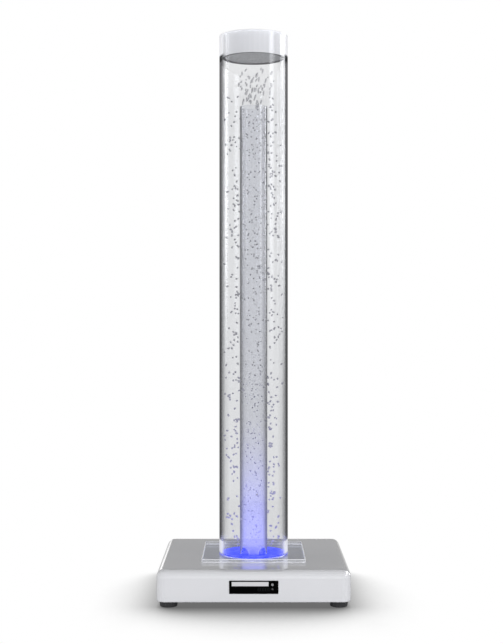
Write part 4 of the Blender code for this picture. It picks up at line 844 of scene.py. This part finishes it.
# The pane is black along its lowest edge, fading into its grey above.
pane_edge = shader_part(
    pane_tree, "MapRange", From_Min=pane_low + PANE_EDGE, From_Max=pane_low + PANE_FIELD,
)
pane_tint = shader_part(pane_tree, "MixRGB", Color1=PANE_EDGE_BLACK)
wire(pane_tree, pane_place, "Object", pane_height, "Vector")
wire(pane_tree, pane_height, "Z", pane_edge, "Value")
wire(pane_tree, pane_edge, "Result", pane_tint, "Fac")
wire(pane_tree, pane_drift, "Color", pane_tint, "Color2")
wire(pane_tree, pane_tint, "Color", pane_tree.nodes["Principled BSDF"], "Base Color")
dress(pane_grey, "display_window")
dress(motor_black, "display_module")
dress(board_green, "control_board")
dress(bright_steel, "panel_screw_left", "panel_screw_right")


# Power inlet
# A black moulded socket for a low-voltage plug, put through the rear wall and held by its nut inside.
dress(key_black, "power_inlet")
dress(motor_black, "inlet_nut")


# Leads
# Three sheathed leads run inside the base: from the inlet to the board, and from the board to the blower
# and to the lamp ring.
SHEATH_BLACK = (0.010, 0.010, 0.010)
sheath = moulded(
    "cable_sheath", SHEATH_BLACK, roughness=0.48, grain=1200.0, relief=0.00002, drift=0.25,
)
dress(sheath, "power_lead", "fan_lead", "light_lead")


# Room
# A pale floor and an even white surround with soft lamps all round. Three tall softboxes draw the streaks
# on the acrylic, and a low strip and a grey card at the back are seen only in reflections.
FLOOR_REACH = 1.5
WHITE = (1.0, 1.0, 1.0, 1.0)
PAPER_WHITE = (0.8, 0.8, 0.8, 1.0)
SHADE_BACK = 0.75
SHADE_UP = 0.66
SHADE_REACH = 0.30
SHADE_SAMPLES = 32
SHADE_CURVE = 2.4
SHADE_DARKEST = 0.13
SHADE_OPEN = 0.8365
PAPER_MIRRORED = 0.60
SURROUND_LIGHT = 0.12
LAMP_FADE = 0.40
LAMP_WIDTH = 3.2
LAMP_HEIGHT = 0.84
LAMP_REACH = 3.6
LAMP_LEVEL = 0.43
FILL_TARGET = (0.0, 0.0, 0.20)
STREAK_HEIGHT = 1.72
STREAK_LEVEL = 1.18
STREAK_TARGET = (0.0, 0.0, STREAK_LEVEL)
CARD_HALF = 3.0
CARD_BACK = 3.2
CARD_FOOT = -0.4
CARD_TOP = 5.6
CARD_LEVEL = 0.41
LENS = 71.33
FILM_WIDTH = 36.0
EYE_PLACE = (-0.0046, -2.80, 0.584)
CLEAR_LAYERS = 24


def looked_at(tree):
    """A light path, and a sum that says if a ray is the camera's, mirrored or let through."""
    path = tree.nodes.new("ShaderNodeLightPath")
    mirrored = sum_part(tree, "MAXIMUM")
    clear = sum_part(tree, "MAXIMUM")
    wire(tree, path, "Is Camera Ray", mirrored, 0)
    wire(tree, path, "Is Glossy Ray", mirrored, 1)
    wire(tree, mirrored, "Value", clear, 0)
    wire(tree, path, "Is Transmission Ray", clear, 1)
    return path, clear


def room_piece(name, work, material):
    """Turn a mesh in the making into a thing of the room, which isn't part of the object."""
    mesh = bpy.data.meshes.new(name)
    work.to_mesh(mesh)
    work.free()
    mesh.materials.append(material)
    thing = bpy.data.objects.new(name, mesh)
    bpy.context.scene.collection.objects.link(thing)
    return thing


def softbox(name, place, target, width, height, power, mirrored=True, lighting=True):
    """A soft rectangular lamp that looks at a point. It may be left out of gloss or of matt skins."""
    lamp = bpy.data.lights.new(name, "AREA")
    lamp.shape = "RECTANGLE"
    lamp.size = width
    lamp.size_y = height
    lamp.energy = power
    box = bpy.data.objects.new(name, lamp)
    box.location = place
    box.rotation_euler = (Vector(target) - Vector(place)).to_track_quat("-Z", "Y").to_euler()
    box.visible_camera = False
    box.visible_glossy = mirrored
    box.visible_diffuse = lighting
    bpy.context.scene.collection.objects.link(box)
    if mirrored:
        lamp.use_nodes = True
        tree = lamp.node_tree
        spot = tree.nodes.new("ShaderNodeNewGeometry")
        parts = tree.nodes.new("ShaderNodeSeparateXYZ")
        fading = shader_part(tree, "MapRange", From_Max=LAMP_FADE)
        wire(tree, spot, "Parametric", parts, "Vector")
        wire(tree, parts, "Y", fading, "Value")
        wire(tree, fading, "Result", tree.nodes["Emission"], "Strength")


def around(degrees, distance, height):
    """A place round the object, counted from its front towards its right."""
    angle = math.radians(degrees)
    return (distance * math.sin(angle), -distance * math.cos(angle), height)


def broad_lamp(name, place, target, power):
    """A broad low lamp that lights the object evenly and that gloss doesn't mirror."""
    softbox(name, place, target, LAMP_WIDTH, LAMP_HEIGHT, power, mirrored=False)


def streak_lamp(name, degrees, distance, width, power, lighting=True):
    """A tall softbox that looks level at the tubes, whose acrylic mirrors it as an upright streak."""
    place = around(degrees, distance, STREAK_LEVEL)
    softbox(name, place, STREAK_TARGET, width, STREAK_HEIGHT, power, lighting=lighting)


paper = bpy.data.materials.new("floor_paper")
paper.use_nodes = True
paper_tree = paper.node_tree
paper_tree.nodes.remove(paper_tree.nodes["Principled BSDF"])
paper_face = shader_part(paper_tree, "BsdfDiffuse", Color=PAPER_WHITE)
paper_sight, paper_seen = looked_at(paper_tree)
# Painted shadow: ambient occlusion that leans towards the back darkens the floor's colour near the object.
lift = shader_part(paper_tree, "CombineXYZ", Y=SHADE_BACK, Z=SHADE_UP)
nearness = shader_part(paper_tree, "AmbientOcclusion", Distance=SHADE_REACH)
nearness.samples = SHADE_SAMPLES
shadow = sum_part(paper_tree, "POWER", second=SHADE_CURVE)
contact = shader_part(paper_tree, "MapRange", From_Max=SHADE_OPEN, To_Min=SHADE_DARKEST, To_Max=1.0)
mirrored_level = shader_part(paper_tree, "MapRange", To_Min=1.0, To_Max=PAPER_MIRRORED)
paper_glow = paper_tree.nodes.new("ShaderNodeEmission")
paper_mix = paper_tree.nodes.new("ShaderNodeMixShader")
wire(paper_tree, nearness, "AO", shadow, 0)
wire(paper_tree, lift, "Vector", nearness, "Normal")
wire(paper_tree, shadow, "Value", contact, "Value")
wire(paper_tree, contact, "Result", paper_glow, "Color")
wire(paper_tree, paper_sight, "Is Glossy Ray", mirrored_level, "Value")
wire(paper_tree, mirrored_level, "Result", paper_glow, "Strength")
wire(paper_tree, paper_seen, "Value", paper_mix, "Fac")
wire(paper_tree, paper_face, "BSDF", paper_mix, 1)
wire(paper_tree, paper_glow, "Emission", paper_mix, 2)
wire(paper_tree, paper_mix, "Shader", paper_tree.nodes["Material Output"], "Surface")
floor_work = bmesh.new()
bmesh.ops.create_circle(floor_work, cap_ends=True, segments=96, radius=FLOOR_REACH)
studio_floor = room_piece("studio_floor", floor_work, paper)

surround = bpy.data.worlds.new("surround")
bpy.context.scene.world = surround
surround.use_nodes = True
sky_tree = surround.node_tree
sky = sky_tree.nodes["Background"]
sky.inputs["Color"].default_value = WHITE
sky_seen = looked_at(sky_tree)[1]
level = shader_part(sky_tree, "MapRange", To_Min=SURROUND_LIGHT, To_Max=1.0)
wire(sky_tree, sky_seen, "Value", level, "Value")
wire(sky_tree, level, "Result", sky, "Strength")

broad_lamp("front_lamp", (0.0, -LAMP_REACH, LAMP_LEVEL), (0.0, 0.0, 0.40), power=105.0)
broad_lamp("left_fill", around(-100.0, LAMP_REACH, LAMP_LEVEL), FILL_TARGET, power=34.0)
broad_lamp("right_fill", around(100.0, LAMP_REACH, LAMP_LEVEL), FILL_TARGET, power=34.0)
broad_lamp("back_fill", around(180.0, LAMP_REACH, LAMP_LEVEL), FILL_TARGET, power=50.0)
softbox("rear_lamp", (0.0, 3.0, 1.8), (0.0, 0.0, 0.3), width=2.4, height=1.0, power=22.0, mirrored=False)
softbox("top_lamp", (0.0, 0.3, 2.6), (0.0, 0.0, 1.21), width=0.6, height=0.6, power=6.0, mirrored=False)
streak_lamp("left_strip", degrees=-102.5, distance=1.7, width=0.24, power=6.0)
streak_lamp("right_box", degrees=64.0, distance=2.0, width=0.58, power=9.0)
streak_lamp("right_strip", degrees=120.5, distance=1.9, width=0.60, power=32.0, lighting=False)
softbox(
    "rear_strip", (-0.76, 3.15, 0.46), (-0.76, 0.0, 0.46), width=0.26, height=0.62, power=1.0,
    lighting=False,
)

card_grey = bpy.data.materials.new("card_grey")
card_grey.use_nodes = True
card_tree = card_grey.node_tree
card_tree.nodes.remove(card_tree.nodes["Principled BSDF"])
card_glow = shader_part(card_tree, "Emission", Color=WHITE, Strength=CARD_LEVEL)
wire(card_tree, card_glow, "Emission", card_tree.nodes["Material Output"], "Surface")
card_work = bmesh.new()
card_corners = (
    (-CARD_HALF, CARD_BACK, CARD_FOOT),
    (CARD_HALF, CARD_BACK, CARD_FOOT),
    (CARD_HALF, CARD_BACK, CARD_TOP),
    (-CARD_HALF, CARD_BACK, CARD_TOP),
)
card_work.faces.new([card_work.verts.new(corner) for corner in card_corners])
grey_card = room_piece("grey_card", card_work, card_grey)
grey_card.visible_camera = False
grey_card.visible_diffuse = False
grey_card.visible_transmission = False
grey_card.visible_shadow = False

camera = bpy.data.cameras.new("camera")
camera.lens = LENS
camera.sensor_width = FILM_WIDTH
eye = bpy.data.objects.new("camera", camera)
eye.location = EYE_PLACE
eye.rotation_euler = (math.pi / 2, 0.0, 0.0)
bpy.context.scene.collection.objects.link(eye)
bpy.context.scene.camera = eye
bpy.context.scene.view_settings.view_transform = "Standard"
bpy.context.scene.cycles.transparent_max_bounces = CLEAR_LAYERS
